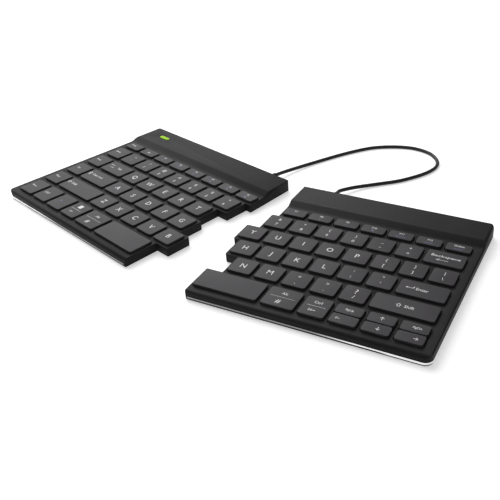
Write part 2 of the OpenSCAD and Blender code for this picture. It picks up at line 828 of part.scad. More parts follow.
// Right half's keys
module right_function_keys() { on_right() key_caps(pick(right_function, 0, 5)); }
module delete_key() { on_right() key_caps([right_function[6]]); }
module right_number_keys() { on_right() key_caps(pick(right_number, 0, 5)); }
module backspace_key() { on_right() key_caps([right_number[6]]); }
module right_upper_keys() { on_right() key_caps(pick(right_upper, 0, 6)); }
module backslash_key() { on_right() key_caps([right_upper[7]]); }
module right_home_keys() { on_right() key_caps(pick(right_home, 0, 5)); }
module enter_key() { on_right() key_caps([right_home[6]]); }
module right_lower_keys() { on_right() key_caps(pick(right_lower, 0, 4)); }
module right_shift_key() { on_right() key_caps([right_lower[5]]); }
module right_space_key() { on_right() key_caps([right_space]); }
module right_alt_key() { on_right() key_caps([right_alt]); }
module right_control_key() { on_right() key_caps([right_control]); }
module page_up_key() { on_right() key_caps([arrows_back[0]]); }
module left_arrow_key() { on_right() key_caps([arrows_front[0]]); }
module up_arrow_key() { on_right() key_caps([arrows_back[1]]); }
module down_arrow_key() { on_right() key_caps([arrows_front[1]]); }
module page_down_key() { on_right() key_caps([arrows_back[2]]); }
module right_arrow_key() { on_right() key_caps([arrows_front[2]]); }

right_top_case();
right_bottom_cover();
right_trim_strip();
right_support_plate();
right_membrane();
right_dome_sheet();
right_scissors();
right_feet();
right_screws();
right_circuit_board();
right_cord_boot();
left_top_case();
left_bottom_cover();
left_trim_strip();
left_support_plate();
left_membrane();
left_dome_sheet();
left_scissors();
left_feet();
left_screws();
left_circuit_board();
left_cord_boot();
indicator_lens();
battery();
charging_socket();
power_switch();
link_cord();
left_column_keys();
left_function_keys();
left_number_keys();
tab_key();
left_upper_keys();
caps_lock_key();
left_home_keys();
left_shift_key();
left_lower_keys();
left_control_key();
function_shift_key();
system_key();
left_alt_key();
left_space_key();
right_function_keys();
delete_key();
right_number_keys();
backspace_key();
right_upper_keys();
backslash_key();
right_home_keys();
enter_key();
right_lower_keys();
right_shift_key();
right_space_key();
right_alt_key();
right_control_key();
page_up_key();
left_arrow_key();
up_arrow_key();
down_arrow_key();
page_down_key();
right_arrow_key();
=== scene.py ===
"""Looks of a split keyboard: two low halves full of square keys, joined by one loose cord.

Metres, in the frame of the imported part: +X across the desk, +Y towards the rear bars, +Z up.
Sizes of the keyboard's own pieces are written in millimetres and turned into metres by MM.
"""

import json
import logging
import math
from collections.abc import Iterable, Sequence
from dataclasses import dataclass, field
from enum import Enum
from typing import ClassVar

import bmesh
import bpy
from mathutils import Matrix, Vector


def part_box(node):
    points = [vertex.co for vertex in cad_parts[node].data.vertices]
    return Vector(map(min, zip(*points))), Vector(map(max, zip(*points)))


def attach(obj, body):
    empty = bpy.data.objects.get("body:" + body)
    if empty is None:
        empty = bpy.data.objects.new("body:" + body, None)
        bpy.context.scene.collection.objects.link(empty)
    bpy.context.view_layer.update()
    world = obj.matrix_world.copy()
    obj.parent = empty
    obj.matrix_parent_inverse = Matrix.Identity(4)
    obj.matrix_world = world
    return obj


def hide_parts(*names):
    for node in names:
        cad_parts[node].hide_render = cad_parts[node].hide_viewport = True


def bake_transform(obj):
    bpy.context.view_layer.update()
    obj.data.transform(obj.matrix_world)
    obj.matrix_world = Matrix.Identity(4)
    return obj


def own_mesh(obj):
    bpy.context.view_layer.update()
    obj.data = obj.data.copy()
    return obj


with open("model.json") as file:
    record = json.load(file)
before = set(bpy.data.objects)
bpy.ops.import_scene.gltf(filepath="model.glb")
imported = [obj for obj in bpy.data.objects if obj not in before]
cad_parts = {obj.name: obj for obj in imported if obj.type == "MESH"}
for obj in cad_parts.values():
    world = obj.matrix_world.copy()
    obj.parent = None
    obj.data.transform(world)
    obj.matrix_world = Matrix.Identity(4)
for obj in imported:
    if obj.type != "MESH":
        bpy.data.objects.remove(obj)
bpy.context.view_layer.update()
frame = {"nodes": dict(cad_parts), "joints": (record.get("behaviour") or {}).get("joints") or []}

LOG = logging.getLogger("keyboard")
MM = 0.001
# Millimetres: top of the keys, rear face of a half, height and length of the cord boots
KEY_TOP = 8.6
REAR = 136.0
BOOT_HEIGHT = 4.6
BOOT_LENGTH = 7.0
# Millimetres, then degrees: what is one point, one plane, an edge to round and a sharp edge
MERGE_WITHIN = 0.002
FLAT_WITHIN = 0.5
ROUND_FROM = 38.0
SHARP_FROM = 32.0
Colour = tuple[float, float, float]
Triple = tuple[float, float, float]
Socket = bpy.types.NodeSocket


class Ink(Enum):
    """The two inks of the key legends, as material places on a key."""

    WHITE = 1
    VIOLET = 2


class Hold(Enum):
    """The point of a key that a legend is measured from."""

    CENTRE = 0.0
    LEFT = -0.5


class Order(Enum):
    """The direction in which the keys of a bank are counted."""

    ACROSS = 0
    REARWARD = 1


@dataclass(frozen=True)
class Placing:
    """Where a half stands on the desk.

    Attributes:
        x: Its own origin across the desk, in millimetres.
        y: Its own origin along the desk, in millimetres.
        turn: Its turn about the upright, in degrees.
        boot: Place of its cord boot across the half, in millimetres.
    """

    x: float
    y: float
    turn: float
    boot: float

    def matrix(self) -> Matrix:
        """Half frame to part frame, both in metres."""
        spin = Matrix.Rotation(math.radians(self.turn), 4, "Z")
        return Matrix.Translation((self.x * MM, self.y * MM, 0.0)) @ spin


class Side(Enum):
    """The two halves."""

    RIGHT = Placing(24.05, -77.2, 8.5, 35.69)
    LEFT = Placing(-124.65, -57.85, -8.5, 85.15)

    @property
    def body(self) -> str:
        """Name of the half's body."""
        return f"{self.name.lower()}_half"

    def node(self, piece: str) -> str:
        """Name of the half's own node of a piece."""
        return f"{self.name.lower()}_{piece}"


# Materials


class NodeMaker:
    """Adds nodes to a tree.

    Attributes:
        tree: The node tree.
    """

    def __init__(self, tree: bpy.types.NodeTree) -> None:
        """Take the tree to add to."""
        self.tree = tree

    def add(self, kind: str, inputs: dict | None = None, **settings: object) -> bpy.types.Node:
        """Add a node.

        Args:
            kind: The node's type name.
            inputs: Values, sockets or lists of sockets, by socket name or index.
            **settings: The node's own options.

        Returns:
            The new node.
        """
        node = self.tree.nodes.new(kind)
        for key, value in settings.items():
            setattr(node, key, value)
        for key, value in (inputs or {}).items():
            for source in value if isinstance(value, list) else [value]:
                if isinstance(source, Socket):
                    self.tree.links.new(source, node.inputs[key])
                else:
                    node.inputs[key].default_value = source
        return node


class Painter(NodeMaker):
    """Builds one material round a Principled shader.

    Attributes:
        material: The material being built.
        shader: Its Principled shader node.
    """

    def __init__(self, name: str) -> None:
        """Start a material.

        Args:
            name: The material's name.
        """
        self.material = bpy.data.materials.new(name)
        self.material.use_nodes = True
        super().__init__(self.material.node_tree)
        self.shader = next(n for n in self.tree.nodes if n.type == "BSDF_PRINCIPLED")

    def set(self, **values: float) -> None:
        """Set constants on the shader's own sockets, underscores standing for spaces."""
        for key, value in values.items():
            self.shader.inputs[key.replace("_", " ")].default_value = value

    def drive(self, socket: str, source: Socket) -> None:
        """Link a socket of the shader to a pattern."""
        self.tree.links.new(source, self.shader.inputs[socket])

    def place(self, scale: Sequence[float] = (1, 1, 1)) -> Socket:
        """Object coordinates, stretched along each axis."""
        coords = self.add("ShaderNodeTexCoord").outputs["Object"]
        return self.add("ShaderNodeMapping", {"Vector": coords, "Scale": scale}).outputs["Vector"]

    def noise(self, place: Socket, size: float, detail: float = 2.0) -> Socket:
        """A noise whose lumps have about the given size.

        Args:
            place: Coordinate socket.
            size: Lump size in millimetres.
            detail: Octaves of finer noise.

        Returns:
            The noise value's socket.
        """
        inputs = {"Vector": place, "Scale": 1 / (size * MM), "Detail": detail}
        return self.add("ShaderNodeTexNoise", inputs).outputs[0]

    def span(self, source: Socket, low: float, high: float,
             start: float = 0.3, end: float = 0.7) -> Socket:
        """Stretch a pattern to a range.

        Args:
            source: The pattern's socket.
            low: Result at the range's start.
            high: Result at the range's end.
            start: Pattern value that gives low.
            end: Pattern value that gives high.

        Returns:
            The stretched value's socket.
        """
        inputs = {"Value": source, "From Min": start, "From Max": end, "To Min": low, "To Max": high}
        return self.add("ShaderNodeMapRange", inputs).outputs[0]

    def mix(self, fac: Socket, a: Colour | Socket, b: Colour | Socket) -> Socket:
        """Mix two colours.

        Args:
            fac: Share of the second colour.
            a: First colour, or a socket that gives one.
            b: Second colour, or a socket that gives one.

        Returns:
            The mixed colour's socket.
        """
        a, b = (c if isinstance(c, Socket) else (*c, 1.0) for c in (a, b))
        return self.add("ShaderNodeMix", {0: fac, 6: a, 7: b}, data_type="RGBA").outputs[2]

    def bump(self, height: Socket, depth: float, strength: float = 1.0) -> None:
        """Raise the surface by a pattern.

        Args:
            height: The pattern's socket.
            depth: Height in millimetres.
            strength: Strength of the effect.
        """
        inputs = {"Height": height, "Distance": depth * MM, "Strength": strength}
        node = self.add("ShaderNodeBump", inputs)
        self.drive("Normal", node.outputs["Normal"])

    def brush(self, lines: float, roughness: float) -> None:
        """Make the material a metal with fine lines in gloss and height.

        Args:
            lines: Size of the lines, in millimetres.
            roughness: Its middle roughness.
        """
        along = (0.06, 1.0, 1.0)
        grooves = self.noise(self.place(along), lines, detail=4.0)
        self.drive("Roughness", self.span(grooves, roughness - 0.05, roughness + 0.07))
        self.set(Metallic=1.0)
        self.bump(grooves, depth=0.004, strength=0.5)


def scaled(colour: Colour, share: float) -> Colour:
    """A colour made darker or lighter."""
    return tuple(min(1.0, c * share) for c in colour)


@dataclass(frozen=True)
class Finish:
    """A finish that builds its material once and hands it out again.

    Attributes:
        name: The material's name.
        colour: Its main colour.
    """

    made: ClassVar[dict[str, bpy.types.Material]] = {}
    name: str
    colour: Colour

    def material(self) -> bpy.types.Material:
        """The finish's material.

        Returns:
            The material, built at the first call.
        """
        if self.name not in Finish.made:
            painter = Painter(self.name)
            self.paint(painter)
            Finish.made[self.name] = painter.material
        return Finish.made[self.name]

    def paint(self, painter: Painter) -> None:
        """Draw the finish's nodes.

        Args:
            painter: Builds the material.
        """
        raise NotImplementedError


@dataclass(frozen=True)
class MouldedPlastic(Finish):
    """Moulded plastic with a fine spark-eroded texture.

    Attributes:
        roughness: Its middle roughness.
        grain: Size of a grain of its texture, in millimetres.
        depth: Depth of the texture, in millimetres.
        mottle: Share by which its colour drifts.
        specular: Strength of its mirror reflection.
        patch: Size of the patches in which its colour drifts, in millimetres.
        spark: Brightness of a spark, as a multiple of its colour.
    """

    roughness: float = 0.45
    grain: float = 0.22
    depth: float = 0.012
    mottle: float = 0.16
    specular: float = 0.4
    patch: float = 22.0
    spark: float = 1.9

    def paint(self, painter: Painter) -> None:
        """Colour that drifts and sparkles, with grain in gloss and height.

        Args:
            painter: Builds the material.
        """
        place = painter.place()
        drift = painter.span(painter.noise(place, self.patch), 0.0, 1.0)
        grain = painter.noise(place, self.grain, detail=3.0)
        broad = painter.mix(
            drift, scaled(self.colour, 1 - self.mottle), scaled(self.colour, 1 + self.mottle))
        spark = painter.span(grain, 0.0, 0.5, start=0.52, end=0.8)
        painter.drive("Base Color", painter.mix(spark, broad, scaled(self.colour, self.spark)))
        painter.drive("Roughness", painter.span(grain, self.roughness - 0.07, self.roughness + 0.08))
        painter.set(Specular_IOR_Level=self.specular)
        painter.bump(grain, self.depth, strength=0.6)


@dataclass(frozen=True)
class BrightMetal(Finish):
    """Polished or rolled metal with fine lines along one direction.

    Attributes:
        roughness: Its middle roughness.
        lines: Size of the rolling lines, in millimetres.
        patch: Size of the patches in which its tone drifts, in millimetres.
        dim: Tone of the darkest patches, as a share of its colour.
    """

    roughness: float = 0.16
    lines: float = 0.6
    patch: float = 9.0
    dim: float = 0.92

    def paint(self, painter: Painter) -> None:
        """Fine lines in gloss and height, and a slow drift of tone.

        Args:
            painter: Builds the material.
        """
        drift = painter.span(painter.noise(painter.place(), self.patch), 0.0, 1.0)
        painter.drive("Base Color", painter.mix(drift, scaled(self.colour, self.dim), self.colour))
        painter.brush(self.lines, self.roughness)


@dataclass(frozen=True)
class Rubber(Finish):
    """Dull rubber or soft cord jacket.

    Attributes:
        roughness: Its middle roughness.
        pores: Size of its pores, in millimetres.
        dust: Size of its dusty patches, in millimetres.
        dusty: Brightness of the dust, as a multiple of its colour.
    """

    roughness: float = 0.6
    pores: float = 0.35
    dust: float = 5.0
    dusty: float = 1.5

    def paint(self, painter: Painter) -> None:
        """Small pores, dust and a dull sheen.

        Args:
            painter: Builds the material.
        """
        place = painter.place()
        pores = painter.noise(place, self.pores, detail=3.0)
        dust = painter.span(painter.noise(place, self.dust, detail=4.0), 0.0, 0.6, start=0.45, end=0.75)
        painter.drive("Base Color", painter.mix(dust, self.colour, scaled(self.colour, self.dusty)))
        painter.drive("Roughness", painter.span(pores, self.roughness - 0.08, self.roughness + 0.1))
        painter.set(Specular_IOR_Level=0.3)
        painter.bump(pores, depth=0.02, strength=0.5)


@dataclass(frozen=True)
class StripMetal(Finish):
    """A bright strip with painted shade along its lower edge and a painted reflection that brightens it
    towards the outer corners.

    Attributes:
        corner: Its colour at the outer corners, a painted reflection.
        foot: Colour of its lower edge, painted shade for the dark line under the strip.
        line: Height at which the bright metal starts, in millimetres.
        reach: Distances from the part's middle between which the painted reflection grows, in
            millimetres.
        side: Distances from the part's middle between which the painted shade ends, in millimetres.
        blur: Half the height over which the painted shade turns bright, in millimetres.
        lines: Size of the rolling lines, in millimetres.
        roughness: Its middle roughness.
    """

    corner: Colour
    foot: Colour
    line: float = 2.0
    reach: tuple[float, float] = (112.0, 134.0)
    side: tuple[float, float] = (151.0, 156.0)
    blur: float = 0.1
    lines: float = 0.6
    roughness: float = 0.16

    def paint(self, painter: Painter) -> None:
        """Fine lines in gloss, a painted reflection that grows outwards and painted shade along the
        lower edge.

        Args:
            painter: Builds the material.
        """
        axes = painter.add("ShaderNodeSeparateXYZ", {"Vector": painter.place()}).outputs
        out = painter.add("ShaderNodeMath", {0: axes["X"]}, operation="ABSOLUTE").outputs[0]
        # Painted reflection: the strip's colour brightens from the middle towards the outer corners.
        painted_reflection_share = painter.span(out, 0.0, 1.0, self.reach[0] * MM, self.reach[1] * MM)
        # Painted shade: the strip is dark below the line, fading out towards the outer sides.
        upper = painter.span(
            axes["Z"], 0.0, 1.0, (self.line - self.blur) * MM, (self.line + self.blur) * MM)
        side = painter.span(out, 0.0, 1.0, self.side[0] * MM, self.side[1] * MM)
        clear = painter.add("ShaderNodeMath", {0: upper, 1: side}, operation="MAXIMUM").outputs[0]
        bright = painter.mix(painted_reflection_share, self.colour, self.corner)
        painter.drive("Base Color", painter.mix(clear, self.foot, bright))
        painter.brush(self.lines, self.roughness)


@dataclass(frozen=True)
class Laminate(Finish):
    """A printed film or a circuit board, with tracks in a second colour.

    Attributes:
        tracks: Colour of the tracks.
        pitch: Pitch of the tracks, in millimetres.
        roughness: Its middle roughness.
        patch: Size of the sheet's clouds, in millimetres.
        mottle: Share by which the sheet's colour drifts.
    """

    tracks: Colour
    pitch: float = 2.4
    roughness: float = 0.35
    patch: float = 6.0
    mottle: float = 0.15

    def paint(self, painter: Painter) -> None:
        """Straight tracks that wander, on a faintly clouded sheet.

        Args:
            painter: Builds the material.
        """
        place = painter.place()
        inputs = {"Vector": place, "Scale": 1 / (self.pitch * MM) / 6, "Distortion": 1.2, "Detail": 0.0}
        wave = painter.add("ShaderNodeTexWave", inputs).outputs[1]
        lines = painter.span(wave, 0.0, 0.85, start=0.82, end=0.9)
        cloud = painter.span(painter.noise(place, self.patch, detail=3.0), 0.0, 1.0)
        sheet = painter.mix(
            cloud, scaled(self.colour, 1 - self.mottle), scaled(self.colour, 1 + self.mottle))
        painter.drive("Base Color", painter.mix(lines, sheet, self.tracks))
        painter.drive("Roughness", painter.span(cloud, self.roughness - 0.05, self.roughness + 0.08))
        painter.bump(lines, depth=0.02, strength=0.4)


@dataclass(frozen=True)
class LensPlastic(Finish):
    """Tinted clear plastic over a light pipe.

    Attributes:
        deep: Its tint where the plastic is thick.
        patch: Size of its clouds, in millimetres.
    """

    deep: Colour
    patch: float = 1.6

    def paint(self, painter: Painter) -> None:
        """A cloudy tint under a satin skin.

        Args:
            painter: Builds the material.
        """
        cloud = painter.span(painter.noise(painter.place(), self.patch, detail=3.0), 0.0, 1.0)
        painter.drive("Base Color", painter.mix(cloud, self.colour, self.deep))
        painter.drive("Roughness", painter.span(cloud, 0.3, 0.4))
        painter.set(IOR=1.2, Specular_IOR_Level=0.2, Subsurface_Weight=0.15)
        painter.shader.inputs["Subsurface Radius"].default_value = (0.0004, 0.0012, 0.0002)


@dataclass(frozen=True)
class LegendInk(Finish):
    """Screen-printed ink, a little uneven.

    Attributes:
        screen: Size of a thin spot from the printing screen, in millimetres.
        thin: Tone of the thin spots, as a share of its colour.
    """

    screen: float = 0.3
    thin: float = 0.86

    def paint(self, painter: Painter) -> None:
        """Uneven cover from the printing screen.

        Args:
            painter: Builds the material.
        """
        screen = painter.span(painter.noise(painter.place(), self.screen), 0.0, 1.0)
        painter.drive("Base Color", painter.mix(screen, scaled(self.colour, self.thin), self.colour))
        painter.drive("Roughness", painter.span(screen, 0.5, 0.6))
        painter.set(Specular_IOR_Level=0.25)


@dataclass(frozen=True)
class PaleFloor(Finish):
    """The white studio floor, which keeps the shadow.

    Attributes:
        lift: Light that it shows to the eye and to mirrors, on top of what falls on it.
        patch: Size of its faint clouds, in millimetres.
        dim: Tone of the darkest clouds, as a share of its colour.
    """

    lift: float
    patch: float = 400.0
    dim: float = 0.995

    def paint(self, painter: Painter) -> None:
        """Dull white that reads as white to the eye and in mirrors.

        Args:
            painter: Builds the material.
        """
        cloud = painter.span(painter.noise(painter.place(), self.patch), 0.0, 1.0)
        painter.drive("Base Color", painter.mix(cloud, scaled(self.colour, self.dim), self.colour))
        painter.set(Roughness=0.9, Specular_IOR_Level=0.0)
        path = painter.add("ShaderNodeLightPath").outputs
        seen = painter.add("ShaderNodeMath", {0: path["Is Camera Ray"], 1: path["Is Glossy Ray"]})
        inputs = {0: seen.outputs[0], 1: path["Is Transmission Ray"]}
        both = painter.add("ShaderNodeMath", inputs, use_clamp=True)
        glow = painter.add("ShaderNodeMath", {0: both.outputs[0], 1: self.lift}, operation="MULTIPLY")
        painter.shader.inputs["Emission Color"].default_value = (1, 1, 1, 1)
        painter.drive("Emission Strength", glow.outputs[0])


CASE_BLACK = MouldedPlastic("case_black", (0.0195, 0.0184, 0.0184), 0.48, 0.45, 0.03, 0.14, 0.08)
KEY_GREY = MouldedPlastic("key_grey", (0.0455, 0.042, 0.0458), 0.5, 0.5, 0.025, 0.1, 0.2)
COVER_BLACK = MouldedPlastic("cover_black", (0.008, 0.008, 0.0083), 0.6, 0.45, 0.03, 0.16, 0.12)
# Trim: grey metal, brightened towards the outer corners by a painted reflection, with painted shade
# along its lower edge.
TRIM_CHROME = StripMetal(
    "trim_chrome", (0.27, 0.273, 0.28), (0.93, 0.93, 0.94), (0.012, 0.012, 0.012))
PLATE_STEEL = BrightMetal("plate_steel", (0.47, 0.48, 0.5), 0.34, 1.2)
SCREW_STEEL = BrightMetal("screw_steel", (0.52, 0.52, 0.53), 0.28, 0.4)
SOCKET_STEEL = BrightMetal("socket_steel", (0.6, 0.6, 0.61), 0.22, 0.5)
FOIL = BrightMetal("battery_foil", (0.58, 0.6, 0.64), 0.4, 0.8)
MEMBRANE = Laminate("membrane_film", (0.42, 0.5, 0.5), (0.55, 0.56, 0.58))
BOARD = Laminate("board_green", (0.012, 0.085, 0.04), (0.03, 0.16, 0.07), 1.1)
DOME_RUBBER = Rubber("dome_rubber", (0.62, 0.62, 0.6), 0.55)
LEVER_PLASTIC = MouldedPlastic("lever_plastic", (0.78, 0.78, 0.75), 0.4, 0.4, 0.01, 0.04)
FOOT_RUBBER = Rubber("foot_rubber", (0.012, 0.012, 0.012), 0.7, 0.5)
CORD_JACKET = Rubber("cord_jacket", (0.013, 0.013, 0.014), 0.48, 0.5)
LENS_GREEN = LensPlastic("lens_green", (0.38, 0.7, 0.006), (0.31, 0.6, 0.004))
SWITCH_GREY = MouldedPlastic("switch_grey", (0.3, 0.3, 0.31), 0.42)
INK_WHITE = LegendInk("ink_white", (0.88, 0.88, 0.88))
INK_VIOLET = LegendInk("ink_violet", (0.17, 0.165, 0.3))
FLOOR_WHITE = PaleFloor("floor_white", (0.9, 0.9, 0.9), 0.5)


# Meshes


def new_piece(name: str, mesh: bpy.types.Mesh, *finishes: Finish) -> bpy.types.Object:
    """Put a mesh into the scene with its finishes.

    Args:
        name: The piece's name.
        mesh: Its mesh, in the part's frame.
        *finishes: Its finishes, in the order of the mesh's material places.

    Returns:
        The new object, at the origin.
    """
    for finish in finishes:
        mesh.materials.append(finish.material())
    piece = bpy.data.objects.new(name, mesh)
    bpy.context.scene.collection.objects.link(piece)
    return piece


def smooth_piece(name: str, bm: bmesh.types.BMesh, *finishes: Finish,
                 sharp: float = 35.0) -> bpy.types.Object:
    """Put a bmesh into the scene as a smooth piece with sharp corners kept.

    Args:
        name: The piece's name.
        bm: Its shape, in the part's frame; it is freed here.
        *finishes: Its finishes, in the order of the shape's material places.
        sharp: Angle in degrees from which an edge stays sharp.

    Returns:
        The new object, at the origin.
    """
    mesh = bpy.data.meshes.new(name)
    bm.to_mesh(mesh)
    bm.free()
    mesh.shade_smooth()
    mesh.set_sharp_from_angle(angle=math.radians(sharp))
    return new_piece(name, mesh, *finishes)


def plain_mesh(piece: bpy.types.Object) -> bpy.types.Mesh:
    """The mesh that an object has once its modifiers are applied."""
    graph = bpy.context.evaluated_depsgraph_get()
    return bpy.data.meshes.new_from_object(piece.evaluated_get(graph))


def node_copy(node: str) -> bmesh.types.BMesh:
    """A merged copy of a CAD node's mesh, flat faces joined.

    Args:
        node: The node's name.

    Returns:
        The copy.
    """
    bm = bmesh.new()
    bm.from_mesh(frame["nodes"][node].data)
    bmesh.ops.remove_doubles(bm, verts=bm.verts, dist=MERGE_WITHIN * MM)
    bmesh.ops.dissolve_limit(bm, angle_limit=math.radians(FLAT_WITHIN), verts=bm.verts,
                             edges=bm.edges, delimit={"NORMAL"})
    return bm


def softened(name: str, node: str, width: float, *finishes: Finish,
             segments: int = 2) -> bpy.types.Object:
    """A copy of a CAD node with its sharp edges rounded, which stands for the node.

    Args:
        name: The piece's name.
        node: The node that it stands for.
        width: Width of the rounding, in millimetres.
        *finishes: The piece's finishes.
        segments: Faces across a rounding.

    Returns:
        The piece.
    """
    raw = bpy.data.meshes.new(name)
    bm = node_copy(node)
    bm.to_mesh(raw)
    bm.free()
    maker = bpy.data.objects.new(name + "_raw", raw)
    bpy.context.scene.collection.objects.link(maker)
    bevel = maker.modifiers.new("rounding", "BEVEL")
    bevel.width = width * MM
    bevel.segments = segments
    bevel.limit_method = "ANGLE"
    bevel.angle_limit = math.radians(ROUND_FROM)
    bevel.use_clamp_overlap = True
    bevel.miter_outer = "MITER_ARC"
    flatten = maker.modifiers.new("flat_faces", "WEIGHTED_NORMAL")
    flatten.keep_sharp = True
    flatten.weight = 90
    mesh = plain_mesh(maker)
    bpy.data.objects.remove(maker)
    mesh.shade_smooth()
    mesh.set_sharp_from_angle(angle=math.radians(SHARP_FROM))
    mesh.name = name
    piece = new_piece(name, mesh, *finishes)
    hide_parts(node)
    return piece


def skin(bm: bmesh.types.BMesh, rings: Sequence[Sequence[bmesh.types.BMVert]]) -> None:
    """Close a row of rings into a solid whose faces point outwards.

    Args:
        bm: The bmesh that holds the rings.
        rings: The rings in order, each with as many vertices.
    """
    for a, b in zip(rings, rings[1:]):
        for k in range(len(a)):
            n = (k + 1) % len(a)
            bm.faces.new((a[k], a[n], b[n], b[k]))
    bm.faces.new(rings[0][::-1])
    bm.faces.new(rings[-1])
    bmesh.ops.recalc_face_normals(bm, faces=bm.faces)


def turns(sides: int) -> list[tuple[float, float]]:
    """Cosine and sine of evenly spread turns."""
    angles = [2 * math.pi * k / sides for k in range(sides)]
    return [(math.cos(t), math.sin(t)) for t in angles]


@dataclass(frozen=True)
class Rect:
    """A key's plan in its half's frame, in metres.

    Attributes:
        x0: Its left edge.
        y0: Its front edge.
        x1: Its right edge.
        y1: Its rear edge.
    """

    x0: float
    y0: float
    x1: float
    y1: float

    def at(self, share: float) -> float:
        """Place across the key, from -0.5 at its left edge to 0.5 at its right."""
        return (self.x0 + self.x1) / 2 + share * (self.x1 - self.x0)

    @property
    def middle(self) -> Vector:
        """The plan's middle."""
        return Vector(((self.x0 + self.x1) / 2, (self.y0 + self.y1) / 2, 0))

    def holds(self, point: Vector) -> bool:
        """Whether a point lies on the plan."""
        return self.x0 < point.x < self.x1 and self.y0 < point.y < self.y1


def islands(bm: bmesh.types.BMesh) -> list[list[bmesh.types.BMVert]]:
    """The separate shells of a bmesh.

    Args:
        bm: The shape.

    Returns:
        The vertices of each shell.
    """
    seen: set[bmesh.types.BMVert] = set()
    shells = []
    for start in bm.verts:
        if start in seen:
            continue
        seen.add(start)
        shell, todo = [], [start]
        while todo:
            vert = todo.pop()
            shell.append(vert)
            for edge in vert.link_edges:
                other = edge.other_vert(vert)
                if other not in seen:
                    seen.add(other)
                    todo.append(other)
        shells.append(shell)
    return shells


def shell_rect(shell: Iterable[bmesh.types.BMVert], inverse: Matrix) -> Rect:
    """The plan of a shell in a half's frame.

    Args:
        shell: Its vertices, in the part's frame.
        inverse: Part frame to half frame.

    Returns:
        Its bounding plan.
    """
    spots = [inverse @ v.co for v in shell]
    return Rect(min(p.x for p in spots), min(p.y for p in spots),
                max(p.x for p in spots), max(p.y for p in spots))


# Geometry Nodes


class Recipe(NodeMaker):
    """A Geometry Nodes tree with named inputs, run once to give a plain mesh.

    Attributes:
        given: The tree's own inputs.
    """

    def __init__(self, name: str, **sizes: float) -> None:
        """Start a tree that takes a geometry, sizes and a material.

        Args:
            name: The tree's name.
            **sizes: Named inputs with their usual values, in metres.
        """
        super().__init__(bpy.data.node_groups.new(name, "GeometryNodeTree"))
        face = self.tree.interface
        face.new_socket("Geometry", in_out="INPUT", socket_type="NodeSocketGeometry")
        face.new_socket("Geometry", in_out="OUTPUT", socket_type="NodeSocketGeometry")
        for key, value in sizes.items():
            socket = face.new_socket(key, in_out="INPUT", socket_type="NodeSocketFloat")
            socket.default_value = value
        face.new_socket("Finish", in_out="INPUT", socket_type="NodeSocketMaterial")
        self.given = self.tree.nodes.new("NodeGroupInput").outputs

    def sum(self, a: object, b: object, operation: str = "ADD") -> Socket:
        """A sum, or another operation, on two numbers or sockets."""
        return self.add("ShaderNodeMath", {0: a, 1: b}, operation=operation).outputs[0]

    def vector(self, x: object = 0.0, y: object = 0.0, z: object = 0.0) -> Socket:
        """A vector from three numbers or sockets."""
        return self.add("ShaderNodeCombineXYZ", {0: x, 1: y, 2: z}).outputs[0]

    def close(self, geometry: Socket) -> "Recipe":
        """Finish the tree.

        Args:
            geometry: The socket that gives the shape.

        Returns:
            The recipe itself.
        """
        real = self.add("GeometryNodeRealizeInstances", {"Geometry": geometry})
        inputs = {"Geometry": real.outputs[0], "Material": self.given["Finish"]}
        painted = self.add("GeometryNodeSetMaterial", inputs)
        out = self.tree.nodes.new("NodeGroupOutput")
        self.tree.links.new(painted.outputs[0], out.inputs[0])
        return self

    def run(self, mesh: bpy.types.Mesh, finish: Finish) -> bmesh.types.BMesh:
        """Run the tree on a mesh.

        Args:
            mesh: The starting mesh.
            finish: Finish of the result.

        Returns:
            The result, its faces pointing outwards.
        """
        maker = bpy.data.objects.new(self.tree.name, mesh)
        bpy.context.scene.collection.objects.link(maker)
        modifier = maker.modifiers.new(self.tree.name, "NODES")
        modifier.node_group = self.tree
        socket = next(i for i in self.tree.interface.items_tree if i.name == "Finish")
        modifier[socket.identifier] = finish.material()
        result = plain_mesh(maker)
        maker.modifiers.remove(modifier)
        bpy.data.objects.remove(maker)
        bm = bmesh.new()
        bm.from_mesh(result)
        bpy.data.meshes.remove(result)
        bmesh.ops.recalc_face_normals(bm, faces=bm.faces)
        return bm


